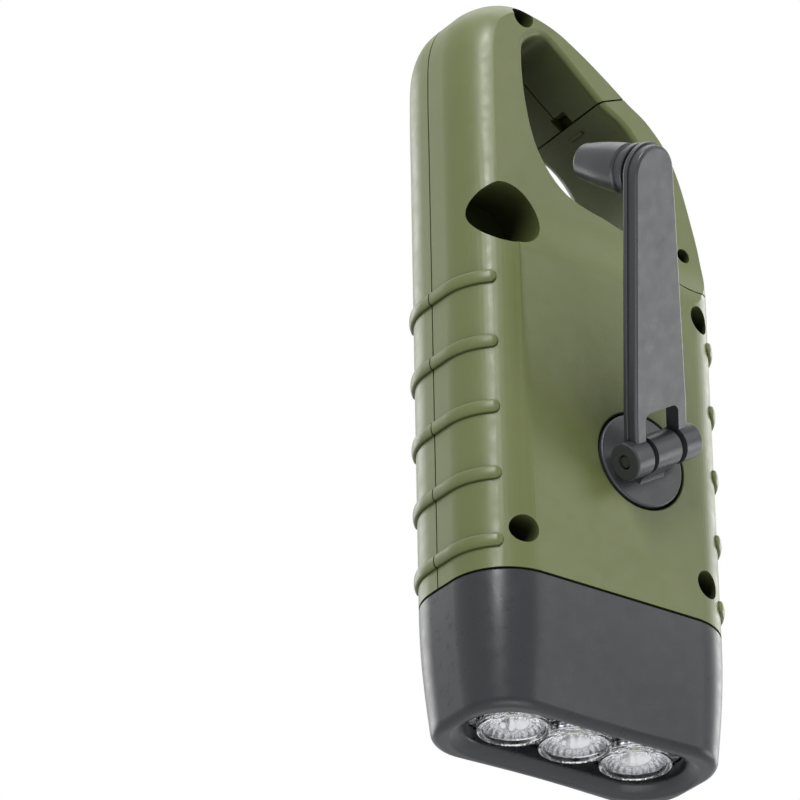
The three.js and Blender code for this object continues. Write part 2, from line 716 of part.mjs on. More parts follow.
function makeRearShell() {
  const half = housing.intersect(box([-width, rearEdgeY, 0], [width, depth, height + overrun]));
  const pocketFloorY = halfDepth + hub.proud - hub.thickness - hub.underGap;
  const seatRadius = hub.radius + hub.sideGap + hub.seatWall;
  const gearTops = [
    [spotOne, layer.first + layer.wheel],
    [spotTwo, layer.second + layer.pinion],
    [rotorSpot, layer.third + layer.pinion],
  ];
  const bosses = gearTops.map(([{ x, z }, top]) => (
    barY(axle.bossRadius, x, z, top + 2 * gap, rearWallY + gap, 20)
  ));
  const sockets = [spotOne, spotTwo, rotorSpot].map(({ x, z }) => (
    barY(axle.radius + gap, x, z, 0, rearWallY - gap, 16)
  ));
  const shell = cut(
    join(
      half,
      ...screwBosses(rearEdgeY, rearWallY + gap),
      barY(seatRadius, crank.x, crank.z, pocketFloorY - hub.seatWall, rearWallY + gap, 28),
      ...bosses,
    ),
    ...screwSpots.map(screwHole),
    ...sockets,
    barY(hub.radius + hub.sideGap, crank.x, crank.z, pocketFloorY, depth, 36),
    barY(hub.shaftRadius + gap, crank.x, crank.z, 0, depth),
    barY(recess.radius, knobSpot.x, knobSpot.z, recess.floorY, depth, 28),
    gatePinBores(),
    springPocket(),
  );
  place('rear_shell', shell, olive);
}

function makeScrews() {
  const s = screw;
  const seat = s.floorY + gap;
  for (const [i, { x, z }] of screwSpots.entries()) {
    const profile = [
      [0, s.tipY], [s.shankRadius / 2, s.tipY], [s.shankRadius, s.tipY + s.shankRadius],
      [s.shankRadius, seat], [s.headRadius, seat], [s.headRadius, seat + s.headHeight / 2],
      [s.headRadius / 2, seat + s.headHeight], [0, seat + s.headHeight],
    ];
    const bars = [[s.headRadius, s.slotWidth / 2], [s.slotWidth / 2, s.headRadius]].map(([dx, dz]) => box(
      [x - dx, seat + s.headHeight - s.slotDepth, z - dz],
      [x + dx, seat + s.headHeight + overrun, z + dz],
    ));
    place(`housing_screw_${i + 1}`, cut(turnY(profile, x, z, 12), ...bars), steel);
  }
}

// The frame round the panel, bevelled on its front only, with a rebate for the panel behind
function makeSolar() {
  const s = solar;
  const frontY = -halfDepth - s.proud;
  const backY = -halfDepth + s.seatDepth - gap;
  const outline = roundShape(
    -s.halfWidth, s.halfWidth, s.lowZ, s.highZ, s.lowRadius, s.highRadius, s.crown,
  );
  const opening = roundShape(
    -s.windowHalf, s.windowHalf, s.windowLowZ, s.windowHighZ, s.windowRadius,
  );
  outline.holes.push(opening);
  const bar = raiseY(outline, frontY, backY + overrun, 4, s.bevel);
  const behind = box([-width, backY, 0], [width, depth, height]);
  const panelHalf = s.windowHalf + s.rebate;
  const panelShape = (margin) => roundShape(
    -panelHalf - margin, panelHalf + margin,
    s.windowLowZ - s.rebate - margin, s.windowHighZ + s.rebate + margin, s.windowRadius,
  );
  const rebate = raiseY(panelShape(gap), backY - s.panelThickness - gap, depth, 4);
  place('solar_frame', cut(bar, behind, rebate), charcoal);
  place('solar_panel', raiseY(panelShape(0), backY - s.panelThickness, backY, 4), copperCell);
}

// The push button and the switch that it works
function makeSwitch() {
  const b = button;
  const face = roundShape(
    b.y - b.width / 2, b.y + b.width / 2, b.z - b.height / 2, b.z + b.height / 2, b.radius,
  );
  const inner = -b.inner + b.flangeThickness;
  const flange = box(
    [-b.inner, b.y - b.width / 2, b.z - b.height / 2 - b.flange],
    [inner, b.y + b.width / 2, b.z + b.height / 2 + b.flange],
  );
  place('switch_button', join(raiseX(face, -halfWidth - b.proud, inner), flange), black);
  const start = inner + b.travel + gap;
  const half = switchBox.height / 2;
  const body = box(
    [start, switchBox.low, b.z - half],
    [start + switchBox.length, switchBox.high, b.z + half],
  );
  place('switch_body', body, black);
}

// The lamp head, a cap with a lens opening, a chamber for the lamps and a collar for the housing
function makeHead() {
  const h = head;
  const topZ = seamZ - gap;
  const edge = [0, 1, 2, 3].map((i) => {
    const turn = i / 3 * Math.PI / 2;
    return [h.edgeRadius * (1 - Math.sin(turn)), h.edgeRadius * (1 - Math.cos(turn)), h.waist];
  });
  const stations = [...edge, [0, h.waistTopZ, h.waist / 2], [0, (h.waistTopZ + topZ) / 2, 0], [0, topZ, 0]];
  const cap = loft(stations.map(([inset, z, waist]) => (
    roundRing(halfWidth - inset, halfDepth - inset, cornerRadius - inset, z, waist, 8)
  )), 'x', 'y');
  const collarRing = (thickness, z) => {
    const inset = wall + gap + thickness;
    return roundRing(halfWidth - inset, halfDepth - inset, cornerRadius - inset, z);
  };
  const collar = loft([collarRing(0, topZ - wall), collarRing(0, h.collarTopZ)], 'x', 'y');
  const inside = loft([collarRing(h.collarWall, h.ledgeZ), collarRing(h.collarWall, height)], 'x', 'y');
  const chamber = raiseZ(capsule(h.chamber, h.chamberRadius), h.floor, h.ledgeZ + gap, 12);
  const straight = h.pocketHalf - h.pocketRadius;
  const mouth = h.pocketRadius - h.pocketLip;
  const pocketSteps = [
    [h.pocketRadius + h.pocketLip, -h.pocketLip], [mouth, h.pocketLip], [mouth, h.floor + gap],
  ];
  const pocketRings = pocketSteps.map(([radius, z]) => (
    roundRing(straight + radius, radius, radius, z)
  ));
  const pocket = loft(pocketRings, 'x', 'y');
  place('head_bezel', cut(join(cap, collar), inside, chamber, pocket), charcoal);
}

const lampXs = [-lens.pitch, 0, lens.pitch];

// One clear block of three lens cups on a flange, each cup bored from behind for its lamp
function makeLens() {
  const l = lens;
  const low = head.floor + gap;
  const flange = raiseZ(capsule(head.chamber - gap, head.chamberRadius - gap), low, low + l.flange, 12);
  const dishZ = l.faceZ + l.dishDepth;
  const cups = lampXs.map((x) => turnZ([
    [0, dishZ - l.eyeRise], [l.eyeRadius / 2, dishZ - l.eyeRise * 3 / 4], [l.eyeRadius, dishZ],
    [l.dishRadius, l.faceZ + l.dishDepth / 2], [l.dishRadius, l.faceZ],
    [l.rimRadius, l.faceZ], [l.rimRadius, low],
    [(l.rimRadius + l.backRadius) / 2, (low + l.flange + l.backZ) / 2],
    [l.backRadius, l.backZ], [0, l.backZ],
  ], x, 0, 22));
  const bores = lampXs.map((x) => (
    turnZ([[0, l.boreZ], [l.boreRadius, l.boreZ], [l.boreRadius, height], [0, height]], x, 0, 16)
  ));
  place('lens_block', cut(join(flange, ...cups), ...bores), clear);
}

function makeLamps() {
  const base = head.ledgeZ;
  const round = led.radius * (1 - Math.SQRT1_2);
  for (const [i, x] of lampXs.entries()) {
    const profile = [
      [0, led.tipZ], [led.radius * Math.SQRT1_2, led.tipZ + round],
      [led.radius, led.tipZ + led.radius], [led.radius, base - led.rimHeight],
      [led.rimRadius, base - led.rimHeight], [led.rimRadius, base], [0, base],
    ];
    place(`led_${i + 1}`, turnZ(profile, x, 0, 14), warmWhite);
  }
  const inset = wall + gap + head.collarWall + gap;
  const rings = [base + gap, base + gap + led.boardThickness].map((z) => (
    roundRing(halfWidth - inset, halfDepth - inset, cornerRadius - inset, z)
  ));
  place('led_board', loft(rings, 'x', 'y'), boardGreen);
}

// A gear outline with involute flanks, its first tooth at the given angle
function gearShape(count, module, start, boreRadius) {
  const pitch = count * module / 2;
  const base = pitch * Math.cos(tooth.pressure);
  const involute = (angle) => Math.tan(angle) - angle;
  const halfAt = (radius) => {
    const angle = Math.acos(base / Math.max(radius, base));
    const halfAtPitch = (Math.PI * module / 2 - tooth.backlash) / 2 / pitch;
    return halfAtPitch + involute(tooth.pressure) - involute(angle);
  };
  const radii = [pitch - tooth.dedendumShare * module, pitch + tooth.addendumShare * module];
  const points = [];
  for (let k = 0; k < count; k += 1) {
    const middle = start + 2 * Math.PI * k / count;
    const rising = radii.map((radius) => [radius, middle - halfAt(radius)]);
    const falling = radii.map((radius) => [radius, middle + halfAt(radius)]).reverse();
    for (const [radius, angle] of [...rising, ...falling]) {
      points.push(new THREE.Vector2(radius * Math.cos(angle), radius * Math.sin(angle)));
    }
  }
  const shape = new THREE.Shape(points);
  if (boreRadius > 0) {
    const bore = new THREE.Path();
    bore.absarc(0, 0, boreRadius, 0, 2 * Math.PI, true);
    shape.holes.push(bore);
  }
  return shape;
}

// The start angle that puts a follower's tooth space on a driver's tooth
function meshedStart(driverCount, driverStart, towards, followerCount) {
  const phase = (towards - driverStart) * driverCount / (2 * Math.PI);
  return towards + Math.PI - (0.5 - phase) * 2 * Math.PI / followerCount;
}

const pinionOneStart = meshedStart(crankGear.count, 0, gearOne.towards, gearOne.pinion);
const pinionTwoStart = meshedStart(gearOne.wheel, 0, gearTwo.towards, gearTwo.pinion);
const rotorPinionStart = meshedStart(gearTwo.wheel, 0, rotor.towards, rotor.pinion);

// A wheel with the smaller pinion of the layer above it, in one piece on a bore
function compoundGear({ wheel, module, pinion }, wheelLow, pinionModule, pinionStart, pinionLow) {
  const bore = axle.radius + gap;
  const rootRadius = pinion * pinionModule / 2 - tooth.dedendumShare * pinionModule;
  const collar = cut(
    barY(rootRadius, 0, 0, wheelLow + layer.wheel / 2, pinionLow + layer.pinion / 2, 16),
    barY(bore, 0, 0, wheelLow - overrun, pinionLow + overrun, 16),
  );
  return join(
    raiseY(gearShape(wheel, module, 0, bore), wheelLow, wheelLow + layer.wheel, 8),
    raiseY(gearShape(pinion, pinionModule, pinionStart, bore), pinionLow, pinionLow + layer.pinion, 8),
    collar,
  );
}

function makeGears() {
  const first = gearShape(crankGear.count, crankGear.module, 0, hub.shaftRadius + gap);
  const crankWheel = raiseY(first, layer.first, layer.first + layer.wheel, 10);
  place('crank_gear', crankWheel.translate([crank.x, 0, crank.z]), nylon);
  const one = compoundGear(gearOne, layer.second, crankGear.module, pinionOneStart, layer.first);
  place('gear_1', one.translate([spotOne.x, 0, spotOne.z]), nylon);
  const two = compoundGear(gearTwo, layer.third, gearOne.module, pinionTwoStart, layer.second);
  place('gear_2', two.translate([spotTwo.x, 0, spotTwo.z]), nylon);
  const top = rearWallY - 2 * gap;
  place('gear_1_axle', barY(axle.radius, spotOne.x, spotOne.z, axle.footY, top, 16), steel);
  place('gear_2_axle', barY(axle.radius, spotTwo.x, spotTwo.z, axle.footY, top, 16), steel);
}

// The generator: a rotor with its pinion and magnet, in a coil and a case
function makeGenerator() {
  const { x, z } = rotorSpot;
  const pinionShape = gearShape(rotor.pinion, gearTwo.module, rotorPinionStart, 0);
  const pinionBar = raiseY(pinionShape, layer.third, layer.third + layer.pinion, 8);
  const pinion = pinionBar.translate([x, 0, z]);
  const shaft = barY(axle.radius, x, z, rotor.footY, rearWallY - 2 * gap, 16);
  const magnet = barY(rotor.magnetRadius, x, z, rotor.magnetLow, rotor.magnetHigh, 24);
  place('rotor', join(pinion, shaft, magnet), steel);
  const s = stator;
  const inner = s.coilOuter + gap;
  const outer = inner + s.caseWall;
  const floorTop = s.caseLow + s.caseWall;
  const [coilLow, coilHigh] = [floorTop + gap, s.caseHigh - gap];
  const coil = [
    [s.coilInner, coilLow], [s.coilOuter, coilLow], [s.coilOuter, coilHigh], [s.coilInner, coilHigh],
    [s.coilInner, coilLow],
  ];
  place('stator_coil', turnY(coil, x, z, 24), copperWire);
  const shell = [
    [s.shaftHole, s.caseLow], [outer, s.caseLow], [outer, s.caseHigh], [inner, s.caseHigh],
    [inner, floorTop], [s.shaftHole, floorTop], [s.shaftHole, s.caseLow],
  ];
  place('stator_case', turnY(shell, x, z, 24), steel);
}

// The plate that carries the axles' lower ends
function makeGearPlate() {
  const p = plate;
  const outline = roundShape(p.lowX, p.highX, p.lowZ, p.highZ, p.radius);
  const sheet = raiseY(outline, p.low, p.low + p.thickness, 6);
  const pegs = platePosts.map(([x, z]) => barY(p.pegRadius + gap, x, z, -depth, depth, 12));
  const bearings = [spotOne, spotTwo, rotorSpot].map(({ x, z }) => (
    barY(axle.radius + gap, x, z, -depth, depth, 16)
  ));
  place('gear_plate', cut(sheet, ...pegs, ...bearings), steel);
}

function makeCells() {
  const half = cell.length / 2;
  const profile = [
    [0, -half], [cell.radius - cell.edge, -half], [cell.radius, cell.edge - half],
    [cell.radius, half - cell.edge], [cell.radius - cell.edge, half], [0, half],
  ];
  for (let i = 0; i < cell.count; i += 1) {
    const geometry = new THREE.LatheGeometry(profile.map(([r, y]) => new THREE.Vector2(r, y)), 20);
    geometry.rotateZ(Math.PI / 2);
    geometry.translate((i - (cell.count - 1) / 2) * (cell.length + gap), cell.y, cell.z);
    place(`battery_cell_${i + 1}`, solid(geometry), steel);
  }
}

function makeBoard() {
  const b = board;
  const outline = roundShape(b.lowX, b.highX, b.lowZ, b.highZ, b.radius);
  const sheet = raiseY(outline, b.low, b.low + b.thickness, 4);
  const holes = boardPosts.map(([x, z]) => barY(b.pegRadius + gap, x, z, -depth, depth, 12));
  place('main_board', cut(sheet, ...holes), boardGreen);
}

// The crank turns with its hub; everything on it is drawn along +Z and turned to its direction
const crankTurn = new THREE.Group();
crankTurn.position.set(crank.x, 0, crank.z);
crankTurn.rotation.y = crank.direction;
root.add(crankTurn);

const armLift = new THREE.Group();
armLift.position.y = pivotY;
armLift.rotation.x = -crank.lift;
crankTurn.add(armLift);

// The hub: a disc in its pocket, a shaft into the housing and an ear for the arm's pin
function makeHub() {
  const h = hub;
  const top = halfDepth + h.proud;
  const disc = barY(h.radius, 0, 0, top - h.thickness, top, 36);
  const shaft = barY(h.shaftRadius, 0, 0, h.shaftEndY, top - h.thickness / 2);
  const ear = join(
    barX(h.earRadius, -h.earHalf, h.earHalf, pivotY, 0),
    box([-h.earHalf, top - gap, -h.earRadius], [h.earHalf, pivotY, h.earRadius]),
  );
  const pinHole = barX(arm.pinRadius + gap, -width, width, pivotY, 0, 16);
  const screwBore = barY(h.screwRadius + gap, 0, 0, 0, h.shaftEndY + h.screwDepth + gap, 16);
  place('crank_hub', cut(join(disc, shaft, ear), pinHole, screwBore), crankGrey, crankTurn);
  place('arm_pin', barX(arm.pinRadius, -arm.pinHalf, arm.pinHalf, pivotY, 0, 16), steel, crankTurn);
  const seat = h.shaftEndY - gap;
  const profile = [
    [0, seat - h.screwHeadHeight], [h.screwHead, seat - h.screwHeadHeight], [h.screwHead, seat],
    [h.screwRadius, seat], [h.screwRadius, seat + h.screwDepth], [0, seat + h.screwDepth],
  ];
  place('hub_screw', turnY(profile, 0, 0, 20), steel, crankTurn);
}

// The arm, forked at its root round the hub's ear, tapering to a round tip with the knob's seat
function makeArm() {
  const a = arm;
  const low = -a.thickness / 2;
  const high = a.thickness / 2;
  const shape = new THREE.Shape();
  shape.moveTo(-a.rootHalf, low);
  shape.lineTo(a.rootHalf, low);
  shape.lineTo(a.rootHalf, a.slotLength);
  shape.lineTo(a.tipHalf, crank.reach);
  shape.absarc(0, crank.reach, a.tipHalf, 0, Math.PI, false);
  shape.lineTo(-a.rootHalf, a.slotLength);
  const bar = raiseY(shape, low, high, 8, a.bevel);
  const knuckles = barX(a.knuckleRadius, -a.knuckleHalf, a.knuckleHalf, 0, 0);
  const boss = barY(a.bossRadius, 0, crank.reach, low - a.bossHeight, 0, 24);
  const slot = box([-a.slotHalf, -overrun, -a.slotLength], [a.slotHalf, overrun, a.slotLength]);
  const pinHole = barX(a.pinRadius + gap, -width, width, 0, 0, 16);
  const axleTop = low + knobSize.axleInArm + gap;
  const axleHole = barY(knobSize.axleRadius + gap, 0, crank.reach, low - overrun, axleTop, 16);
  place('crank_arm', cut(join(bar, knuckles, boss), slot, pinHole, axleHole), crankGrey, armLift);
}

// The knob, a tapering grip with a collar, free to turn on its axle
function makeKnob() {
  const k = knobSize;
  const seat = -arm.thickness / 2 - arm.bossHeight - gap;
  const end = seat - k.length;
  const bore = k.axleRadius + gap;
  const collarLow = seat - k.baseHeight;
  const neckLow = collarLow - gap - k.neckHeight;
  const profile = [
    [bore, seat], [k.baseRadius, seat], [k.baseRadius, collarLow], [k.neckRadius, collarLow - gap],
    [k.neckRadius, neckLow], [k.bodyRadius, neckLow - gap],
    [k.tipRadius + k.tipRound / 4, end + k.tipRound],
    [k.tipRadius - k.tipRound / 4, end + k.tipRound / 4], [k.tipRadius - k.tipRound, end],
    [0, end], [0, seat - k.axleDepth - gap], [bore, seat - k.axleDepth - gap], [bore, seat],
  ];
  place('knob', turnY(profile, 0, crank.reach, 24), crankGrey, armLift);
  const top = -arm.thickness / 2 + k.axleInArm;
  place('knob_axle', barY(k.axleRadius, 0, crank.reach, seat - k.axleDepth, top, 16), steel, armLift);
}

makeFrontShell();
makeRearShell();
makeGate();
makeGatePin();
makeGateSpring();
makeScrews();
makeSolar();
makeSwitch();
makeHead();
makeLens();
makeLamps();
makeGears();
makeGenerator();
makeGearPlate();
makeCells();
makeBoard();
makeHub();
makeArm();
makeKnob();

// The origin lies under the middle of the whole part, crank included
root.updateMatrixWorld(true);
const bounds = new THREE.Box3().setFromObject(root, true);
const middle = bounds.getCenter(new THREE.Vector3());
root.position.set(-middle.x, -middle.y, -bounds.min.z);

export default root;
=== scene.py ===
from math import acos, copysign, cos, pi, radians, sin, sqrt

import bmesh
import bpy
from mathutils import Matrix, Vector


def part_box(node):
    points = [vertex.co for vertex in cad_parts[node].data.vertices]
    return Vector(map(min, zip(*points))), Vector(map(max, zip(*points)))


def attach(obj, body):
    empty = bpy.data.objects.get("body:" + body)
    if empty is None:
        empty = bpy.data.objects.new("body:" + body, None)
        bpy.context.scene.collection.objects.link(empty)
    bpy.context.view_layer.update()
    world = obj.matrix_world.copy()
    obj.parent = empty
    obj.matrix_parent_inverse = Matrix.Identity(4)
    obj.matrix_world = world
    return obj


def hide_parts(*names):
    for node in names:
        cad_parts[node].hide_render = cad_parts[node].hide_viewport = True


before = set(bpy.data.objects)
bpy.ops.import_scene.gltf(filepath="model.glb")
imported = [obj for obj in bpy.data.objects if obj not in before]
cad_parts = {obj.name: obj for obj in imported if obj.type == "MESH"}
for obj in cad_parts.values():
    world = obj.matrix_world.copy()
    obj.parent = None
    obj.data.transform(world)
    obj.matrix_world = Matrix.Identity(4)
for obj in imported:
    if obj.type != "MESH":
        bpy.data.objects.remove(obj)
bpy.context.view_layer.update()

# Shapes are drawn in millimetres, with z from the lamps to the loop, and are then moved onto the frame
headLow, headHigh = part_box("head_bezel")
middle = (headLow + headHigh) / 2
onFrame = Matrix.Translation((middle.x, middle.y, 0)) @ Matrix.Diagonal((0.001, 0.001, 0.001, 1))
collection = bpy.context.scene.collection

def mix(a, b, share):
    return a + (b - a) * share

def smoothStep(value, low, high):
    share = min(max((value - low) / (high - low), 0), 1)
    return share * share * (3 - 2 * share)

# Camera, at the angle and distance from which the rear of the torch was photographed
shot = {"azimuth": 142.6, "elevation": -28.48, "roll": -1.89, "distance": 939.3, "focal": 5410.2,
        "target": (0, 0, 70), "pixel": (563.3, 389.4), "frame": 800, "sensor": 36, "clips": (0.05, 60)}

def makeCamera():
    turn, rise, roll = (radians(shot[key]) for key in ("azimuth", "elevation", "roll"))
    back = Vector((sin(turn) * cos(rise), -cos(turn) * cos(rise), sin(rise)))
    right = (-back).cross(Vector((0, 0, 1))).normalized()
    up = right.cross(-back)
    right, up = right * cos(roll) + up * sin(roll), up * cos(roll) - right * sin(roll)
    half = shot["frame"] / 2
    across = (shot["pixel"][0] - half) / shot["focal"]
    above = (half - shot["pixel"][1]) / shot["focal"]
    forward = (-back - right * across - up * above).normalized()
    right = (right - forward * right.dot(forward)).normalized()
    up = right.cross(forward)
    data = bpy.data.cameras.new("camera")
    data.sensor_width = shot["sensor"]
    data.lens = shot["focal"] / shot["frame"] * shot["sensor"]
    data.clip_start, data.clip_end = shot["clips"]
    data.dof.use_dof = False
    camera = bpy.data.objects.new("camera", data)
    collection.objects.link(camera)
    place = onFrame @ (Vector(shot["target"]) + back * shot["distance"])
    axes = Matrix((right, up, -forward)).transposed().to_4x4()
    camera.matrix_world = Matrix.Translation(place) @ axes
    bpy.context.scene.camera = camera
    return right, forward

viewRight, viewForward = makeCamera()
print("camera set")

# Nodes: sockets take either a value or a link from another node's output
def setSockets(tree, node, sockets):
    for name, value in sockets.items():
        if isinstance(value, bpy.types.NodeSocket):
            tree.links.new(value, node.inputs[name])
        else:
            node.inputs[name].default_value = value

def addNode(tree, kind, sockets, **settings):
    node = tree.nodes.new(kind)
    for name, value in settings.items():
        setattr(node, name, value)
    setSockets(tree, node, sockets)
    return node

def newMaterial(name):
    material = bpy.data.materials.new(name)
    material.use_nodes = True
    return material, material.node_tree, material.node_tree.nodes["Principled BSDF"]

# Stage: a pale floor well below the torch, a white surround, and large soft lamps
stage = {
    "floorDrop": 0.95, "floorHalf": 25, "floorTone": (0.86, 0.86, 0.855, 1), "floorRoughness": 0.9,
    "floorGlow": 0.62, "surround": (0.62, 0.63, 0.65, 1), "surroundStrength": 0.34,
}
# Each lamp's name, its place to the right, above and beyond, its size and its power
softLamps = [
    ("key", (-0.2, 0.62, -0.8), (0.1, 0.6), 7.5), ("fill", (0.9, 0.3, -0.3), (0.5, 0.8), 1.6),
    ("sheen", (1.0, -0.2, 0.25), (0.5, 0.5), 2.6), ("top", (0.0, 1.0, 0.05), (0.9, 0.9), 3),
    ("backLeft", (-0.75, 0.25, 0.65), (0.5, 0.9), 4), ("backRight", (0.7, 0.3, 0.7), (0.5, 0.9), 4),
    ("under", (0.1, -0.75, -0.3), (0.7, 0.5), 2),
]

# One where a ray comes straight from the camera, off something glossy or through something clear
def seenRays(tree):
    rays = addNode(tree, "ShaderNodeLightPath", {})
    seen = rays.outputs["Is Camera Ray"]
    for label in ("Is Glossy Ray", "Is Transmission Ray"):
        either = addNode(tree, "ShaderNodeMath", {0: seen, 1: rays.outputs[label]}, operation="MAXIMUM")
        seen = either.outputs[0]
    return seen

def makeStage():
    half = stage["floorHalf"]
    mesh = bpy.data.meshes.new("floor")
    corners = [(x * half, y * half, -stage["floorDrop"]) for x, y in ((-1, -1), (1, -1), (1, 1), (-1, 1))]
    mesh.from_pydata(corners, [], [(0, 1, 2, 3)])
    floor = bpy.data.objects.new("floor", mesh)
    collection.objects.link(floor)
    paint, tree, shader = newMaterial("floorPaint")
    glow = addNode(tree, "ShaderNodeMath", {0: seenRays(tree), 1: stage["floorGlow"]}, operation="MULTIPLY")
    setSockets(tree, shader, {
        "Base Color": stage["floorTone"], "Roughness": stage["floorRoughness"],
        "Emission Color": (1, 1, 1, 1), "Emission Strength": glow.outputs[0],
    })
    mesh.materials.append(paint)

    world = bpy.data.worlds.new("studio")
    bpy.context.scene.world = world
    world.use_nodes = True
    tree = world.node_tree
    lit = tree.nodes["Background"]
    setSockets(tree, lit, {"Color": stage["surround"], "Strength": stage["surroundStrength"]})
    seen = addNode(tree, "ShaderNodeBackground", {"Color": (1, 1, 1, 1), "Strength": 1})
    blend = addNode(tree, "ShaderNodeMixShader", {
        "Fac": seenRays(tree), 1: lit.outputs[0], 2: seen.outputs[0]})
    setSockets(tree, tree.nodes["World Output"], {"Surface": blend.outputs[0]})

    centre = onFrame @ Vector(shot["target"])
    aside, ahead = (Vector((axis.x, axis.y, 0)).normalized() for axis in (viewRight, viewForward))
    for name, (right, above, beyond), size, power in softLamps:
        data = bpy.data.lights.new(name, "AREA")
        data.shape = "RECTANGLE"
        data.size, data.size_y = size
        data.energy = power
        holder = bpy.data.objects.new(name, data)
        collection.objects.link(holder)
        holder.location = centre + aside * right + Vector((0, 0, above)) + ahead * beyond
        holder.rotation_mode = "QUATERNION"
        holder.rotation_quaternion = (holder.location - centre).to_track_quat("Z", "Y")
        holder.visible_camera = False
    bpy.context.scene.view_settings.view_transform = "Standard"

makeStage()
print("stage and lamps set")

# Materials
def objectNoise(tree, scale, detail=2.0, stretch=(1, 1, 1), slant=0.0):
    place = addNode(tree, "ShaderNodeTexCoord", {}).outputs["Object"]
    mapped = addNode(tree, "ShaderNodeMapping", {
        "Vector": place, "Rotation": (0, slant, 0), "Scale": stretch})
    noise = addNode(tree, "ShaderNodeTexNoise", {
        "Vector": mapped.outputs[0], "Scale": scale, "Detail": detail})
    return noise.outputs["Fac"]

def ranged(tree, value, low, high, start=0.3, end=0.7):
    spread = addNode(tree, "ShaderNodeMapRange", {
        "Value": value, "From Min": start, "From Max": end, "To Min": low, "To Max": high,
    })
    return spread.outputs["Result"]

def twoTones(tree, share, first, second):
    first = (*first, 1) if isinstance(first, tuple) else first
    blend = addNode(tree, "ShaderNodeMix", {"Factor": share, 6: first, 7: (*second, 1)}, data_type="RGBA")
    return blend.outputs[2]

def bumped(tree, height, strength, distance):
    bump = addNode(tree, "ShaderNodeBump", {"Height": height, "Strength": strength, "Distance": distance})
    return bump.outputs["Normal"]

# Painted shade: a colour and a sheen darkened by ambient occlusion in bores, recesses and the inside of the
# loop, where shade falls
hollowShade = {"reach": 0.04, "samples": 8, "closed": 0.35, "open": 0.85, "leastColour": 0.32,
           "leastSheen": 0.1}

def paintedHollowShade(tree, colour, sheen):
    seen = addNode(tree, "ShaderNodeAmbientOcclusion", {"Distance": hollowShade["reach"]},
                   samples=hollowShade["samples"])
    openness, limits = seen.outputs["AO"], (hollowShade["closed"], hollowShade["open"])
    share = ranged(tree, openness, hollowShade["leastColour"], 1, *limits)
    shaded = addNode(tree, "ShaderNodeVectorMath", {0: colour, "Scale": share}, operation="SCALE")
    return shaded.outputs[0], ranged(tree, openness, sheen * hollowShade["leastSheen"], sheen, *limits)

# Moulded plastic: a fine spark-eroded grain, slow changes of tone, and roughness that varies with scuffs;
# where asked, painted shade darkens its colour and sheen in hollows
def mouldedPlastic(name, tone, shade, roughness, grain, clouds=45, grains=5200, specular=0.5, shadeHollows=False):
    material, tree, shader = newMaterial(name)
    colour = twoTones(tree, ranged(tree, objectNoise(tree, clouds, 3), 0, 1), tone, shade)
    # painted shade in hollows, from ambient occlusion, darkens the colour and dims the sheen
    if shadeHollows:
        colour, specular = paintedHollowShade(tree, colour, specular)
    scuffs = objectNoise(tree, 420, 5)
    setSockets(tree, shader, {
        "Base Color": colour, "Specular IOR Level": specular,
        "Roughness": ranged(tree, scuffs, roughness - 0.05, roughness + 0.07),
        "Normal": bumped(tree, objectNoise(tree, grains), grain, 0.00004),
    })
    return material

def turnedMetal(name, tone, shade, roughness, scale=2600, stretch=(1, 1, 1), strength=0.12):
    material, tree, shader = newMaterial(name)
    lines = objectNoise(tree, scale, 3, stretch)
    setSockets(tree, shader, {
        "Base Color": twoTones(tree, ranged(tree, lines, 0, 1), tone, shade), "Metallic": 1,
        "Roughness": ranged(tree, lines, roughness - 0.06, roughness + 0.08),
        "Normal": bumped(tree, lines, strength, 0.00002),
    })
    return material

# Clear plastic, with faint flow marks in its surface
def clearPlastic(name, tint, roughness):
    material, tree, shader = newMaterial(name)
    marks = objectNoise(tree, 260)
    setSockets(tree, shader, {
        "Base Color": (*tint, 1), "Transmission Weight": 1, "IOR": 1.49,
        "Roughness": ranged(tree, marks, roughness * 0.6, roughness * 1.6),
        "Normal": bumped(tree, marks, 0.1, 0.0001),
    })
    return material

# The silvered skin of the lamp cups, rippled like hammered foil
def silverSkin():
    material, tree, shader = newMaterial("silverSkin")
    ripple = objectNoise(tree, 900, 1)
    setSockets(tree, shader, {
        "Base Color": twoTones(tree, ranged(tree, ripple, 0, 1), (0.78, 0.79, 0.82), (0.95, 0.95, 0.96)),
        "Metallic": 1, "Roughness": ranged(tree, ripple, 0.12, 0.3),
        "Normal": bumped(tree, ripple, 0.35, 0.0002),
    })
    return material

# The solar cell: copper brown under clear resin, with fine slanting brush marks
def copperCell():
    material, tree, shader = newMaterial("copperCell")
    clouds = ranged(tree, objectNoise(tree, 30), 0, 1)
    base = twoTones(tree, clouds, (0.36, 0.15, 0.066), (0.42, 0.185, 0.085))
    streaks = objectNoise(tree, 1500, 3, (0.05, 1, 1), radians(-14))
    setSockets(tree, shader, {
        "Base Color": twoTones(tree, ranged(tree, streaks, 0, 0.16, 0.45, 0.75), base, (0.5, 0.27, 0.17)),
        "Roughness": ranged(tree, streaks, 0.3, 0.42), "Coat Weight": 0.7, "Coat Roughness": 0.08,
        "Normal": bumped(tree, streaks, 0.06, 0.00003),
    })
    return material
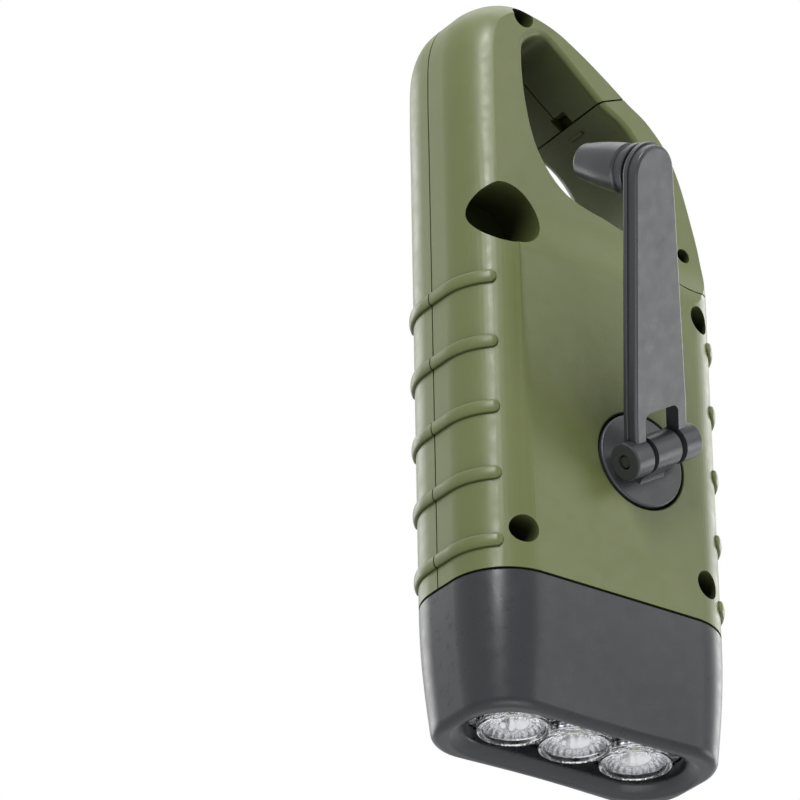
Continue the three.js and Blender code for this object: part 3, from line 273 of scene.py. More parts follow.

# The olive plastic carries painted shade in its hollows
olive = mouldedPlastic(
    "olivePlastic", (0.138, 0.162, 0.056), (0.153, 0.178, 0.065), 0.35, 0.16, specular=0.4, shadeHollows=True,
)
headGrey = mouldedPlastic(
    "headPlastic", (0.021, 0.0225, 0.0265), (0.026, 0.0275, 0.032), 0.3, 0.2, specular=0.38,
)
frameGrey = mouldedPlastic(
    "framePlastic", (0.046, 0.05, 0.057), (0.056, 0.06, 0.067), 0.32, 0.1, specular=0.45,
)
crankGrey = mouldedPlastic(
    "crankPlastic", (0.036, 0.038, 0.042), (0.045, 0.047, 0.051), 0.31, 0.12, specular=0.42,
)
blackPlastic = mouldedPlastic("blackPlastic", (0.016, 0.016, 0.018), (0.022, 0.022, 0.024), 0.45, 0.2)
nylon = mouldedPlastic("gearNylon", (0.72, 0.7, 0.63), (0.78, 0.76, 0.69), 0.42, 0.08)
boardGreen = mouldedPlastic("boardResin", (0.03, 0.13, 0.06), (0.04, 0.17, 0.08), 0.35, 0.3, 900)
clearLens = clearPlastic("clearLens", (0.97, 0.975, 0.985), 0.03)
lampResin = mouldedPlastic("lampResin", (0.86, 0.8, 0.56), (0.93, 0.9, 0.74), 0.16, 0.03, 400)
steel = turnedMetal("brightSteel", (0.6, 0.61, 0.62), (0.76, 0.77, 0.78), 0.26)
canSteel = turnedMetal("canSteel", (0.5, 0.51, 0.52), (0.66, 0.67, 0.68), 0.34, 700, (1, 1, 6))
blackSteel = turnedMetal("blackSteel", (0.1, 0.1, 0.11), (0.16, 0.16, 0.17), 0.36)
copperWire = turnedMetal("copperWire", (0.62, 0.26, 0.12), (0.76, 0.36, 0.18), 0.3, 1500, (1, 8, 1), 0.5)
silver = silverSkin()
cellCopper = copperCell()
lineTan = mouldedPlastic("lineTan", (0.47, 0.25, 0.14), (0.53, 0.3, 0.18), 0.34, 0.05)
print("materials made")

# The finishes of the pieces inside, which the scene takes from the CAD
insideFinishes = [
    (boardGreen, "led_board main_board"), (copperWire, "stator_coil"), (blackSteel, "arm_pin"),
    (canSteel, "battery_cell_1 battery_cell_2 battery_cell_3 stator_case gear_plate"),
    (steel, "hub_screw knob_axle gear_1_axle gear_2_axle rotor gate_spring"),
    (nylon, "crank_gear gear_1 gear_2"), (lampResin, "led_1 led_2 led_3"), (blackPlastic, "switch_body"),
]
for material, names in insideFinishes:
    for nodeName in names.split():
        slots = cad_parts[nodeName].data.materials
        slots.clear()
        slots.append(material)

# How far the cutters reach past the housing: across it, through it, above it, and just over a face
far, deep, tall, overrun = 60, 30, 200, 5

# Mesh building
def meshObject(name, points, faces, merge=True):
    mesh = bpy.data.meshes.new(name)
    mesh.from_pydata([tuple(point) for point in points], [], faces)
    made = bpy.data.objects.new(name, mesh)
    collection.objects.link(made)
    if merge:
        work = bmesh.new()
        work.from_mesh(mesh)
        bmesh.ops.remove_doubles(work, verts=work.verts, dist=1e-5)
        bmesh.ops.recalc_face_normals(work, faces=work.faces)
        work.to_mesh(mesh)
        work.free()
    return made

def loft(name, rings, closed=False):
    count = len(rings[0])
    points = [point for ring in rings for point in ring]
    faces = []
    for k in range(len(rings) if closed else len(rings) - 1):
        low, high = k * count, (k + 1) % len(rings) * count
        for i in range(count):
            j = (i + 1) % count
            faces.append((low + i, low + j, high + j, high + i))
    if not closed:
        faces.append(tuple(range(count)))
        faces.append(tuple(len(points) - count + i for i in range(count)))
    return meshObject(name, points, faces)

def boxBetween(low, high):
    (left, front, bottom), (right, rear, top) = low, high
    corners = ((left, front), (right, front), (right, rear), (left, rear))
    return loft("box", [[(x, y, z) for x, y in corners] for z in (bottom, top)])

# A profile of radius and height turned about an axis through a place
def turned(name, profile, axis="z", at=(0, 0, 0), sides=64, closed=False):
    rings = []
    for radius, height in profile:
        ring = []
        for i in range(sides):
            angle = 2 * pi * i / sides
            a, b = radius * cos(angle), radius * sin(angle)
            ring.append({"x": (height, a, b), "y": (a, height, b), "z": (a, b, height)}[axis])
        rings.append([tuple(p + q for p, q in zip(point, at)) for point in ring])
    return loft(name, rings, closed)

def barY(radius, x, z, low, high, sides=64):
    return turned("bar", [(radius, low), (radius, high)], "y", (x, 0, z), sides)

def barX(radius, low, high, y, z, sides=64):
    return turned("bar", [(radius, low), (radius, high)], "x", (0, y, z), sides)

# The angles of a quarter turn, and how far in and up a rounded edge runs over it
def quarterTurn(steps):
    return [pi / 2 * i / steps for i in range(steps + 1)]

def roundedEdge(radius, steps):
    return [(radius * (1 - sin(angle)), radius * (1 - cos(angle))) for angle in quarterTurn(steps)]

# A round cutter from a depth to well above a flat face, with a rounded mouth at the face
def mouthY(radius, x, z, depth, face, mouth):
    profile = [(radius, depth)]
    for angle in quarterTurn(6):
        profile.append((radius + mouth * (1 - cos(angle)), face - mouth + mouth * sin(angle)))
    return turned("mouth", profile + [(radius + mouth, face + overrun)], "y", (x, 0, z), 96)

def arcPoints(x, z, radius, start, end, steps):
    return [(x + radius * cos(start + (end - start) * i / steps),
             z + radius * sin(start + (end - start) * i / steps)) for i in range(steps + 1)]

# An outline drawn in x and z, raised along y, its edges rounded where asked
def raisedY(name, outline, low, high, lowRound=0.0, highRound=0.0, steps=4):
    count = len(outline)
    area = sum(outline[i][0] * outline[(i + 1) % count][1] - outline[(i + 1) % count][0] * outline[i][1]
               for i in range(count))
    inwards = []
    for i in range(count):
        before = (Vector(outline[i]) - Vector(outline[i - 1])).normalized()
        after = (Vector(outline[(i + 1) % count]) - Vector(outline[i])).normalized()
        first, second = (Vector((-d.y, d.x)) * copysign(1, area) for d in (before, after))
        bisector = (first + second).normalized()
        inwards.append(bisector / max(bisector.dot(first), 0.35))
    levels = [(0, low)]
    if lowRound > 0:
        levels = [(inset, low + rise) for inset, rise in roundedEdge(lowRound, steps)]
    if highRound > 0:
        levels += [(highRound * (1 - cos(angle)), high - highRound * (1 - sin(angle)))
                   for angle in quarterTurn(steps)]
    else:
        levels.append((0, high))
    rings = [[(x + n.x * inset, y, z + n.y * inset) for (x, z), n in zip(outline, inwards)]
             for inset, y in levels]
    return loft(name, rings)

# Turns the modifiers of a piece into mesh
def applied(piece):
    bpy.context.view_layer.update()
    graph = bpy.context.evaluated_depsgraph_get()
    mesh = bpy.data.meshes.new_from_object(piece.evaluated_get(graph))
    piece.modifiers.clear()
    piece.data = mesh

def combine(target, tool, operation):
    step = target.modifiers.new("step", "BOOLEAN")
    step.operation = operation
    step.solver = "MANIFOLD"
    step.object = tool
    applied(target)
    bpy.data.objects.remove(tool)
    return target

def cut(target, *tools):
    for tool in tools:
        combine(target, tool, "DIFFERENCE")
    return target

def join(target, *tools):
    for tool in tools:
        combine(target, tool, "UNION")
    return target

def meet(target, tool):
    return combine(target, tool, "INTERSECT")

def copyOf(source, name="copy"):
    made = bpy.data.objects.new(name, source.data.copy())
    collection.objects.link(made)
    return made

# Puts a drawn piece on the frame, gives it its finish and its body, and hides the CAD nodes that it stands
# for
def finishPiece(piece, name, material, body, nodes=(), place=None, sharp=32, bevel=0.0):
    piece.name = name
    mesh = piece.data
    if place is not None:
        mesh.transform(place)
    if material is not None:
        mesh.materials.clear()
        mesh.materials.append(material)
        mesh.polygons.foreach_set("material_index", [0] * len(mesh.polygons))
    if bevel > 0:
        edge = piece.modifiers.new("edge", "BEVEL")
        edge.width = bevel
        edge.segments = 2
        edge.limit_method = "ANGLE"
        edge.angle_limit = radians(40)
        edge.use_clamp_overlap = True
        applied(piece)
        mesh = piece.data
    mesh.shade_smooth()
    mesh.set_sharp_from_angle(angle=radians(sharp))
    weigh = piece.modifiers.new("weigh", "WEIGHTED_NORMAL")
    weigh.keep_sharp = True
    applied(piece)
    piece.data.name = name
    piece.data.transform(onFrame)
    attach(piece, body)
    if nodes:
        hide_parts(*nodes)

# Curves through points, and their directions over a small step
near = 1e-4

def splinePoint(points, t):
    spot = (len(points) - 1) * t
    k = min(int(spot), len(points) - 2)
    w = spot - k
    a, b, c, d = (Vector(points[min(max(i, 0), len(points) - 1)]) for i in (k - 1, k, k + 1, k + 2))
    pull, push = (c - a) / 2, (d - b) / 2
    return (2 * b - 2 * c + pull + push) * w ** 3 + (3 * c - 3 * b - 2 * pull - push) * w ** 2 + pull * w + b

def ringPoint(points, t):
    count = len(points)
    spot = count * (t % 1)
    k = int(spot)
    w = spot - k
    a, b, c, d = (Vector(points[(k + i) % count]) for i in (-1, 0, 1, 2))
    s, m, e = ((q - p).length ** 0.5 for p, q in ((a, b), (b, c), (c, d)))
    pull = ((b - a) / s - (c - a) / (s + m) + (c - b) / m) * m
    push = ((c - b) / m - (d - b) / (m + e) + (d - c) / e) * m
    return b + pull * w + (3 * c - 3 * b - 2 * pull - push) * w ** 2 + (2 * b - 2 * c + pull + push) * w ** 3

def splineTangent(points, t):
    return (splinePoint(points, min(t + near, 1)) - splinePoint(points, max(t - near, 0))).normalized()

def ringTangent(points, t):
    return (ringPoint(points, t + near) - ringPoint(points, t - near)).normalized()

# The housing: two olive half shells, the loop's opening and the sunk bands round it
housing = {
    "width": 54, "depth": 28, "height": 139.8, "corner": 10.9, "wall": 2, "gap": 0.3, "parting": -1,
    "seam": 24.5, "outlineSteps": 150, "edgeSteps": 20, "ridgeStart": 101, "ridgeEnd": 116, "ridgeInset": 7,
    "outline": [(-1, 0.6), (-1, 0.658), (-0.963, 0.715), (-0.9, 0.765), (-0.815, 0.819),
                (-0.704, 0.862), (-0.537, 0.896), (-0.37, 0.916), (-0.185, 0.941), (0.018, 0.966),
                (0.222, 0.987), (0.426, 0.998), (0.611, 1), (0.778, 0.987), (0.911, 0.963),
                (0.985, 0.923), (1, 0.866), (1, 0.8)],
    "loop": [(0.389, 0.95), (0.544, 0.93), (0.563, 0.898), (0.541, 0.847), (0.496, 0.805),
             (0.441, 0.778), (0.348, 0.752), (0.219, 0.732), (0.07, 0.723), (-0.104, 0.718),
             (-0.26, 0.712), (-0.42, 0.712), (-0.507, 0.742), (-0.515, 0.787), (-0.463, 0.822),
             (-0.37, 0.851), (-0.265, 0.869), (-0.141, 0.88), (-0.06, 0.89), (0.085, 0.911),
             (0.237, 0.934)],
    "loopSteps": 150, "frontRim": 2.2, "frontDraft": 0.7, "rearRim": 1.2, "rimSteps": 8, "rimReach": 6,
    "frontSink": 1.6, "rearSink": 3.35, "rearTilt": 3.6,
    "bandStart": 84, "bandEnd": 99, "bandSteps": 20,
    "floorY": -9.2, "hollowTop": 82, "collarTop": 28.4,
}
halfWidth = housing["width"] / 2
halfDepth = housing["depth"] / 2
gap = housing["gap"]

def housingForm():
    outline = [(x * halfWidth, z * housing["height"]) for x, z in housing["outline"]]
    foot = housing["seam"] - overrun
    stations = [(Vector((-halfWidth, foot)), Vector((1, 0)))]
    for i in range(housing["outlineSteps"] + 1):
        t = i / housing["outlineSteps"]
        along = splineTangent(outline, t)
        stations.append((splinePoint(outline, t), Vector((along.y, -along.x))))
    stations.append((Vector((halfWidth, foot)), Vector((-1, 0))))
    corner = housing["corner"]
    levels = [(inset, rise - halfDepth) for inset, rise in roundedEdge(corner, housing["edgeSteps"])]
    levels += [(inset, -y) for inset, y in reversed(levels)]
    rings = []
    for inset, y in levels:
        ring = []
        for point, inward in stations:
            ridge = smoothStep(point.y, housing["ridgeStart"], housing["ridgeEnd"])
            step = min(inset, mix(corner, housing["ridgeInset"], ridge))
            ring.append((point.x + inward.x * step, y, point.y + inward.y * step))
        rings.append(ring)
    return cut(loft("form", rings), boxBetween((-far, -far, 0), (far, far, housing["seam"])))

def frontBand(x):
    return -halfDepth + housing["frontSink"]

def rearBand(x):
    return halfDepth - housing["rearSink"] + housing["rearTilt"] * x / housing["width"]

def bandCutter(face, band):
    beyond = face + copysign(overrun, face)
    top = housing["height"] + overrun
    rings = []
    for x in (-far, -far / 2, 0, far / 2, far):
        ring = []
        for i in range(housing["bandSteps"] + 1):
            share = i / housing["bandSteps"]
            y = mix(face, band(x), smoothStep(share, 0, 1))
            ring.append((x, y, mix(housing["bandStart"], housing["bandEnd"], share)))
        ring += [(x, band(x), top), (x, beyond, top), (x, beyond, housing["bandStart"])]
        rings.append(ring)
    return loft("bandCutter", rings)

def loopCutter():
    points = [(x * halfWidth, z * housing["height"]) for x, z in housing["loop"]]
    stations = []
    for i in range(housing["loopSteps"]):
        t = i / housing["loopSteps"]
        ahead = ringTangent(points, t)
        stations.append((ringPoint(points, t), Vector((-ahead.y, ahead.x))))

    def rim(radius, draft):
        edge = roundedEdge(radius, housing["rimSteps"])
        return [(radius + draft, -housing["rimReach"])] + [(draft + out, rise) for out, rise in edge]

    rings = []
    for out, inset in rim(housing["frontRim"], housing["frontDraft"]):
        rings.append([(p.x + n.x * out, frontBand(p.x) + inset, p.y + n.y * out) for p, n in stations])
    for out, inset in reversed(rim(housing["rearRim"], 0)):
        rings.append([(p.x + n.x * out, rearBand(p.x) - inset, p.y + n.y * out) for p, n in stations])
    return loft("loopCutter", rings)

# The sprung gate of the loop, on a lug of the housing
gateShape = {
    "pin": (-20.5, 98.7), "rootRadius": 8.6, "rootStart": -150, "rootEnd": 12, "split": (-6.9, 125.85),
    "splitAngle": -25, "reach": 12, "lugRadius": 4.6, "lugHalf": 3.9, "neck": (-118, -62),
    "slot": (-122, -34), "tongueLength": 2.2, "tongueWidth": 3.4, "tongueBack": 1, "tongueFront": 3.4,
    "pinRadius": 1.1, "pinHead": 1.9, "pinHeadHeight": 1.1, "pinFront": 1.7, "pinRear": 8,
    "springPocket": 3.4, "springDepth": 6.2,
}

def gateZone(margin):
    pinX, pinZ = gateShape["pin"]
    radius = gateShape["rootRadius"] + margin
    angle = radians(gateShape["splitAngle"])
    splitX, splitZ = gateShape["split"]

    def onSplit(reach):
        return (splitX + reach * cos(angle) - margin * sin(angle),
                splitZ + reach * sin(angle) + margin * cos(angle))

    inner, outer = onSplit(gateShape["reach"]), onSplit(-gateShape["reach"])
    root = arcPoints(pinX, pinZ, radius, radians(gateShape["rootStart"]),
                     radians(gateShape["rootEnd"]), 60)
    outline = [inner, outer, (-far, outer[1]), (-far, root[0][1])] + root
    return raisedY("gateZone", outline, -deep, deep)

def gateLug(clearance, span):
    pinX, pinZ = gateShape["pin"]
    half = gateShape["lugHalf"] + clearance
    start, end = (radians(angle) for angle in span)
    sector = arcPoints(pinX, pinZ, gateShape["rootRadius"] + 2 * gap, start, end, 24) + [(pinX, pinZ)]
    neck = raisedY("neck", sector, -half, half)
    return join(barY(gateShape["lugRadius"] + clearance, pinX, pinZ, -half, half), neck)

def latchTongue(clearance, release):
    half = gateShape["tongueWidth"] / 2 + clearance
    low, high = -gateShape["tongueBack"] - clearance, gateShape["tongueFront"] + clearance + release
    down, up = -gateShape["tongueLength"], gateShape["tongueLength"] + clearance
    angle = radians(gateShape["splitAngle"])
    splitX, splitZ = gateShape["split"]
    outline = [(splitX + a * cos(angle) - b * sin(angle),
                splitZ + a * sin(angle) + b * cos(angle))
               for a, b in ((low, down), (high, down), (high, up), (low, up))]
    return raisedY("tongue", outline, -half, half)

def gatePinBores():
    spot = gateShape["pin"]
    frontFloor = -halfDepth + gateShape["pinFront"] + gateShape["pinHeadHeight"] + gap
    return [barY(gateShape["pinRadius"] + gap, *spot, -deep, deep),
            barY(gateShape["pinHead"] + gap, *spot, -deep, frontFloor)]

def springPocket():
    low = -gateShape["lugHalf"] - gap
    return barY(gateShape["springPocket"], *gateShape["pin"], low, low + gateShape["springDepth"])

# What the shells hold or make room for: screws, crank, solar panel, button, posts and gear axles
screws = {
    "headRadius": 2, "headHeight": 1.5, "shank": 1, "floorY": 3.9, "tipY": -8.2, "bossWall": 1.4,
    "slotWidth": 0.6, "slotDepth": 0.7, "slotShare": 0.62, "edge": 0.1, "seed": 7,
    "point": [(0, 0), (0.35, 0.3), (1, 1.4)],
    "crown": [(1, 0.75), (0.93, 0.4), (0.75, 0.14), (0.45, 0.02), (0, 0)],
    "spots": [(19.3, 31.8, 2.55, True), (-19.3, 31.8, 2.55, True), (-20.5, 84, 2.55, True),
              (15, 135.1, 2.2, False)],
}
crank = {"x": -5.5, "z": 51.4, "direction": 31.2, "lift": 34, "pivotY": 18.4, "reach": 48.7}
hub = {"radius": 8.6, "thickness": 2.8, "proud": 0.3, "sideGap": 0.4, "underGap": 0.5, "seatWall": 1.6,
       "mouth": 0.35, "shaft": 3.1, "shaftEnd": 5.9, "earHalf": 3, "earRadius": 3.2, "screwRadius": 1.1,
       "screwDepth": 4, "lowEdge": 0.2, "topEdge": [(0, 0.4), (0.06, 0.2), (0.2, 0.06), (0.4, 0)],
       "earFoot": [(1, 0), (0.35, 0.25), (-0.3, 0.9)]}
recess = {"radius": 6.2, "floorY": 2.4}
solar = {
    "halfWidth": 17.5, "low": 31.2, "high": 81, "lowRadius": 2, "highRadius": 5.2, "crown": 0.5,
    "seatDepth": 2.8, "windowHalf": 11.2, "windowLow": 37.3, "windowHigh": 75.2, "windowRadius": 2,
    "rebate": 1.4, "panel": 1.5, "panelEdge": 0.12,
}
button = {"y": -5.5, "z": 38.4, "width": 4.4, "height": 5.6, "proud": 1, "radius": 1, "edge": 0.45,
          "inner": 24.6, "flange": 0.8, "flangeThickness": 1, "travel": 0.8}
posts = [
    {"spots": [(-9, 74.5), (18.5, 74.5), (-9, 45)], "radius": 2.2, "top": -2.1, "peg": 1, "pegTop": -0.3},
    {"spots": [(-20.6, 45.4), (-15.6, 63.2)], "radius": 1.7, "top": -7.3, "peg": 0.8, "pegTop": -5.2},
]
axles = {
    "bore": 1.2, "boss": 2, "footLow": -10.3, "footHigh": -8.9,
    "spots": [((-1.04864, 69.25344), 8.6), ((10.25944, 61.62605), 5.6), ((12.15567, 50.87195), 2.8)],
}

# A closed ring in x and y with round corners, its long sides drawn in by a waist
def roundRing(halfX, halfY, radius, z, waist=0.0, sideSteps=1, cornerSteps=16):
    ring = []
    for corner, (sx, sy) in enumerate(((1, 1), (-1, 1), (-1, -1), (1, -1))):
        cx, cy = sx * (halfX - radius), sy * (halfY - radius)
        for i in range(cornerSteps + 1):
            angle = (corner + i / cornerSteps) * pi / 2
            ring.append((cx + radius * cos(angle), cy + radius * sin(angle)))
        if sx == sy:
            ring += [(cx * (1 - 2 * i / sideSteps), sy * halfY) for i in range(1, sideSteps)]
    return [(x, y - waist * cos(pi / 2 * x / halfX) ** 2 * y / halfY, z) for x, y in ring]

# A flat outline in two coordinates with round corners, two radii and a crown on its upper edge
def roundOutline(lowX, highX, lowY, highY, lowRadius, highRadius=None, crown=0.0, steps=12):
    highRadius = lowRadius if highRadius is None else highRadius
    quarter = pi / 2
    points = arcPoints(highX - lowRadius, lowY + lowRadius, lowRadius, -quarter, 0, steps)
    points += arcPoints(highX - highRadius, highY - highRadius, highRadius, 0, quarter, steps)
    for i in range(1, steps):
        share = i / steps
        x = mix(highX - highRadius, lowX + highRadius, share)
        points.append((x, highY + 4 * crown * share * (1 - share)))
    points += arcPoints(lowX + highRadius, highY - highRadius, highRadius, quarter, 2 * quarter, steps)
    points += arcPoints(lowX + lowRadius, lowY + lowRadius, lowRadius, 2 * quarter, 3 * quarter, steps)
    return points

# The outlines of the solar frame and its window, and the button's limits, all with a margin
def frameOutline(margin=0.0):
    half = solar["halfWidth"] + margin
    return roundOutline(-half, half, solar["low"] - margin, solar["high"] + margin,
                        solar["lowRadius"] + margin, solar["highRadius"] + margin, solar["crown"])

def windowOutline(margin=0.0):
    half = solar["windowHalf"] + margin
    return roundOutline(-half, half, solar["windowLow"] - margin, solar["windowHigh"] + margin,
                        solar["windowRadius"])

def buttonLimits(margin=0.0):
    return [button[axis] + way * (button[size] / 2 + margin)
            for axis, size in (("y", "width"), ("z", "height")) for way in (-1, 1)]

def screwTools():
    tools = []
    for x, z, bore, boss in screws["spots"]:
        tools += [barY(bore, x, z, screws["floorY"], deep),
                  barY(screws["shank"] + gap, x, z, screws["tipY"] - gap, screws["floorY"] + gap, 24)]
    return tools

def makeHousing():
    body = housingForm()
    cut(body, bandCutter(-halfDepth, frontBand), bandCutter(halfDepth, rearBand), loopCutter())
    bar = copyOf(body, "bar")
    cut(body, gateZone(gap))
    join(body, gateLug(0, gateShape["neck"]))
    cut(body, latchTongue(gap, gateShape["reach"]))
    wall, floorY = housing["wall"], housing["floorY"]
    hollow = loft("hollow", [roundRing(halfWidth - wall, halfDepth - wall, housing["corner"] - wall, z)
                             for z in (housing["seam"] - overrun, housing["hollowTop"])])
    cut(hollow, boxBetween((-far, -far, housing["collarTop"]), (far, floorY, tall)))
    cut(body, hollow)
    front = copyOf(body, "front")
    frontEdge, rearEdge = housing["parting"] - gap / 2, housing["parting"] + gap / 2
    rearWall = halfDepth - wall + gap
    meet(front, boxBetween((-far, -far, 0), (far, frontEdge, tall)))
    rear = meet(body, boxBetween((-far, rearEdge, 0), (far, far, tall)))
    print("housing shells parted")

    for x, z, bore, boss in screws["spots"]:
        if boss:
            radius = bore + screws["bossWall"]
            join(front, meet(barY(radius, x, z, floorY - 1, frontEdge), copyOf(bar)))
            join(rear, meet(barY(radius, x, z, rearEdge, rearWall), copyOf(bar)))
    for post in posts:
        for x, z in post["spots"]:
            join(front, barY(post["radius"], x, z, floorY - 1, post["top"], 32),
                 barY(post["peg"], x, z, post["top"] - gap, post["pegTop"], 24))
    cut(front, *screwTools())
    cut(front, raisedY("seat", frameOutline(gap), -deep, solar["seatDepth"] - halfDepth))
    b = button
    lowY, highY, lowZ, highZ = buttonLimits(gap)
    hole = roundOutline(lowY, highY, lowZ, highZ, b["radius"], steps=6)
    way = loft("way", [[(x, y, z) for y, z in hole] for x in (-far, wall - b["inner"])])
    room = boxBetween((-b["inner"] - gap, lowY, lowZ - b["flange"]),
                      (wall - b["inner"] + b["travel"] + gap, highY, highZ + b["flange"]))
    foot = barY(axles["bore"], *axles["spots"][-1][0], axles["footLow"], axles["footHigh"], 24)
    cut(front, way, room, foot, *gatePinBores(), springPocket())

    pocketFloor = halfDepth + hub["proud"] - hub["thickness"] - hub["underGap"]
    seatRadius = hub["radius"] + hub["sideGap"] + hub["seatWall"]
    join(rear, barY(seatRadius, crank["x"], crank["z"], pocketFloor - hub["seatWall"], rearWall))
    for (x, z), top in axles["spots"]:
        join(rear, barY(axles["boss"], x, z, top + 2 * gap, rearWall, 32))
        cut(rear, barY(axles["bore"], x, z, 0, halfDepth - wall - gap, 24))
    direction = radians(crank["direction"])
    knobX = crank["x"] + crank["reach"] * sin(direction)
    knobZ = crank["z"] + crank["reach"] * cos(direction)
    cut(rear, *screwTools(),
        mouthY(hub["radius"] + hub["sideGap"], crank["x"], crank["z"], pocketFloor, halfDepth, hub["mouth"]),
        barY(hub["shaft"] + gap, crank["x"], crank["z"], 0, deep),
        barY(recess["radius"], knobX, knobZ, recess["floorY"], deep, 96),
        *gatePinBores(), springPocket())
    finishPiece(front, "frontShell", olive, "housing", ["front_shell"])
    finishPiece(rear, "rearShell", olive, "housing", ["rear_shell"])

    meet(bar, gateZone(0))
    cut(bar, gateLug(gap, gateShape["slot"]))
    join(bar, latchTongue(0, 0))
    cut(bar, *gatePinBores())
    finishPiece(bar, "loopGate", olive, "gate", ["gate"])

makeHousing()
print("housing and gate made")

# Geometry Nodes for what repeats
def newTree(name, inputs):
    tree = bpy.data.node_groups.new(name, "GeometryNodeTree")
    tree.is_modifier = True
    for label, kind in {"Geometry": "Geometry", **inputs}.items():
        tree.interface.new_socket(name=label, in_out="INPUT", socket_type="NodeSocket" + kind)
    tree.interface.new_socket(name="Geometry", in_out="OUTPUT", socket_type="NodeSocketGeometry")
    return tree, tree.nodes.new("NodeGroupInput"), tree.nodes.new("NodeGroupOutput")

def endTree(tree, start, end, sockets):
    copies = addNode(tree, "GeometryNodeInstanceOnPoints", sockets)
    real = addNode(tree, "GeometryNodeRealizeInstances", {"Geometry": copies.outputs["Instances"]})
    paint = addNode(tree, "GeometryNodeSetMaterial", {
        "Geometry": real.outputs["Geometry"], "Material": start.outputs["Finish"]})
    tree.links.new(paint.outputs["Geometry"], end.inputs["Geometry"])
    return tree

def repeatTree():
    tree, start, end = newTree("repeatAlongLine", {"Count": "Int", "Offset": "Vector", "Finish": "Material"})
    line = addNode(tree, "GeometryNodeMeshLine", {
        "Count": start.outputs["Count"], "Offset": start.outputs["Offset"]})
    return endTree(tree, start, end, {
        "Points": line.outputs["Mesh"], "Instance": start.outputs["Geometry"]})

def scatterTree():
    tree, start, end = newTree("screwsOnSpots", {"Screw": "Object", "Seed": "Int", "Finish": "Material"})
    model = addNode(tree, "GeometryNodeObjectInfo", {"Object": start.outputs["Screw"]})
    twist = addNode(tree, "FunctionNodeRandomValue", {
        "Min": (0, 0, 0), "Max": (0, pi, 0), "Seed": start.outputs["Seed"]}, data_type="FLOAT_VECTOR")
    return endTree(tree, start, end, {
        "Points": start.outputs["Geometry"], "Instance": model.outputs["Geometry"],
        "Rotation": twist.outputs["Value"]})

def runTree(piece, tree, values):
    step = piece.modifiers.new("nodes", "NODES")
    step.node_group = tree
    for item in tree.interface.items_tree:
        if item.item_type == "SOCKET" and item.in_out == "INPUT" and item.name in values:
            step[item.identifier] = values[item.name]
    applied(piece)

repeated = repeatTree()
scattered = scatterTree()

# Ribs with domed ends, round both sides of the housing
ribs = {"count": 5, "first": 29.5, "pitch": 12.6, "half": 1.2, "proud": 0.75, "fullness": 0.5, "sink": 0.5,
        "sinkShare": 0.9, "leastScale": 0.02, "end": 22.6, "pathSteps": 90, "sectionSteps": 12}

# Stations of a rib: how near the end, the place on the housing, and the way outwards
def ribPath(side):
    radius = housing["corner"]
    cx, cy = halfWidth - radius, halfDepth - radius
    turn = acos(min((ribs["end"] - cx) / radius, 1))
    arc, straight = radius * turn, 2 * cy
    length = 2 * arc + straight
    stations = []
    for i in range(ribs["pathSteps"] + 1):
        along = (1 - cos(pi * i / ribs["pathSteps"])) / 2 * length
        if arc <= along < arc + straight:
            x, y, outX, outY = halfWidth, -cy + along - arc, 1, 0
        else:
            early = along < arc
            angle = along / radius - turn if early else (along - arc - straight) / radius
            outX, outY = cos(angle), sin(angle)
            x, y = cx + radius * outX, (-cy if early else cy) + radius * outY
        stations.append((min(along, length - along), side * x, y, side * outX, outY))
    return stations

def makeRibs():
    half, steps, sink = ribs["half"], ribs["sectionSteps"], ribs["sink"]
    work = bmesh.new()
    for side in (-1, 1):
        rings = []
        for toEnd, x, y, outX, outY in ribPath(side):
            near = 1 - min(toEnd, half) / half
            scale = max(sqrt(max(1 - near ** 2, 0)), ribs["leastScale"])
            ring = []
            for i in range(steps + 1):
                angle = pi * i / steps
                out = ribs["proud"] * scale * sin(angle) ** ribs["fullness"]
                ring.append((x + outX * out, y + outY * out, ribs["first"] - half * scale * cos(angle)))
            for across in (half * scale, -half * scale):
                ring.append((x - outX * sink, y - outY * sink, ribs["first"] + across * ribs["sinkShare"]))
            rings.append(ring)
        rib = loft("rib", rings)
        work.from_mesh(rib.data)
        bpy.data.objects.remove(rib)
    both = meshObject("ribs", [], [], False)
    work.to_mesh(both.data)
    work.free()
    runTree(both, repeated, {"Count": ribs["count"], "Offset": (0, 0, ribs["pitch"]), "Finish": olive})
    edge = housing["parting"]
    cut(both, boxBetween((-far, edge - gap / 2, 0), (far, edge + gap / 2, tall)))
    finishPiece(both, "sideRibs", olive, "housing", sharp=60)

makeRibs()
print("ribs made")

# The lamp head: a grey cap with a waist, rounded end and a pocket for the lens block
head = {
    "edge": 1.5, "edgeSteps": 10, "taper": 1.7, "taperTop": 23, "waist": 0.7, "waistTop": 17, "sideSteps": 32,
    "floor": 4, "collarWall": 1.5, "collarTop": 27.5, "straight": 13.8, "chamberHalf": 22,
    "chamberRadius": 9.3, "ledge": 12.6, "collarFoot": 2, "topRise": 0.25, "topInset": 0.2,
    "levels": (3, 4.5, 6, 8, 10, 12, 14, 16, 18, 20, 22),
    "mouth": [(11.4, -1.6), (10.4, -0.2), (9.8, 0.15), (9.2, 0.42), (8.5, 0.75), (7.7, 1.45), (7.5, 1.75),
              (7.45, 2.1), (7.45, 4.3)],
}

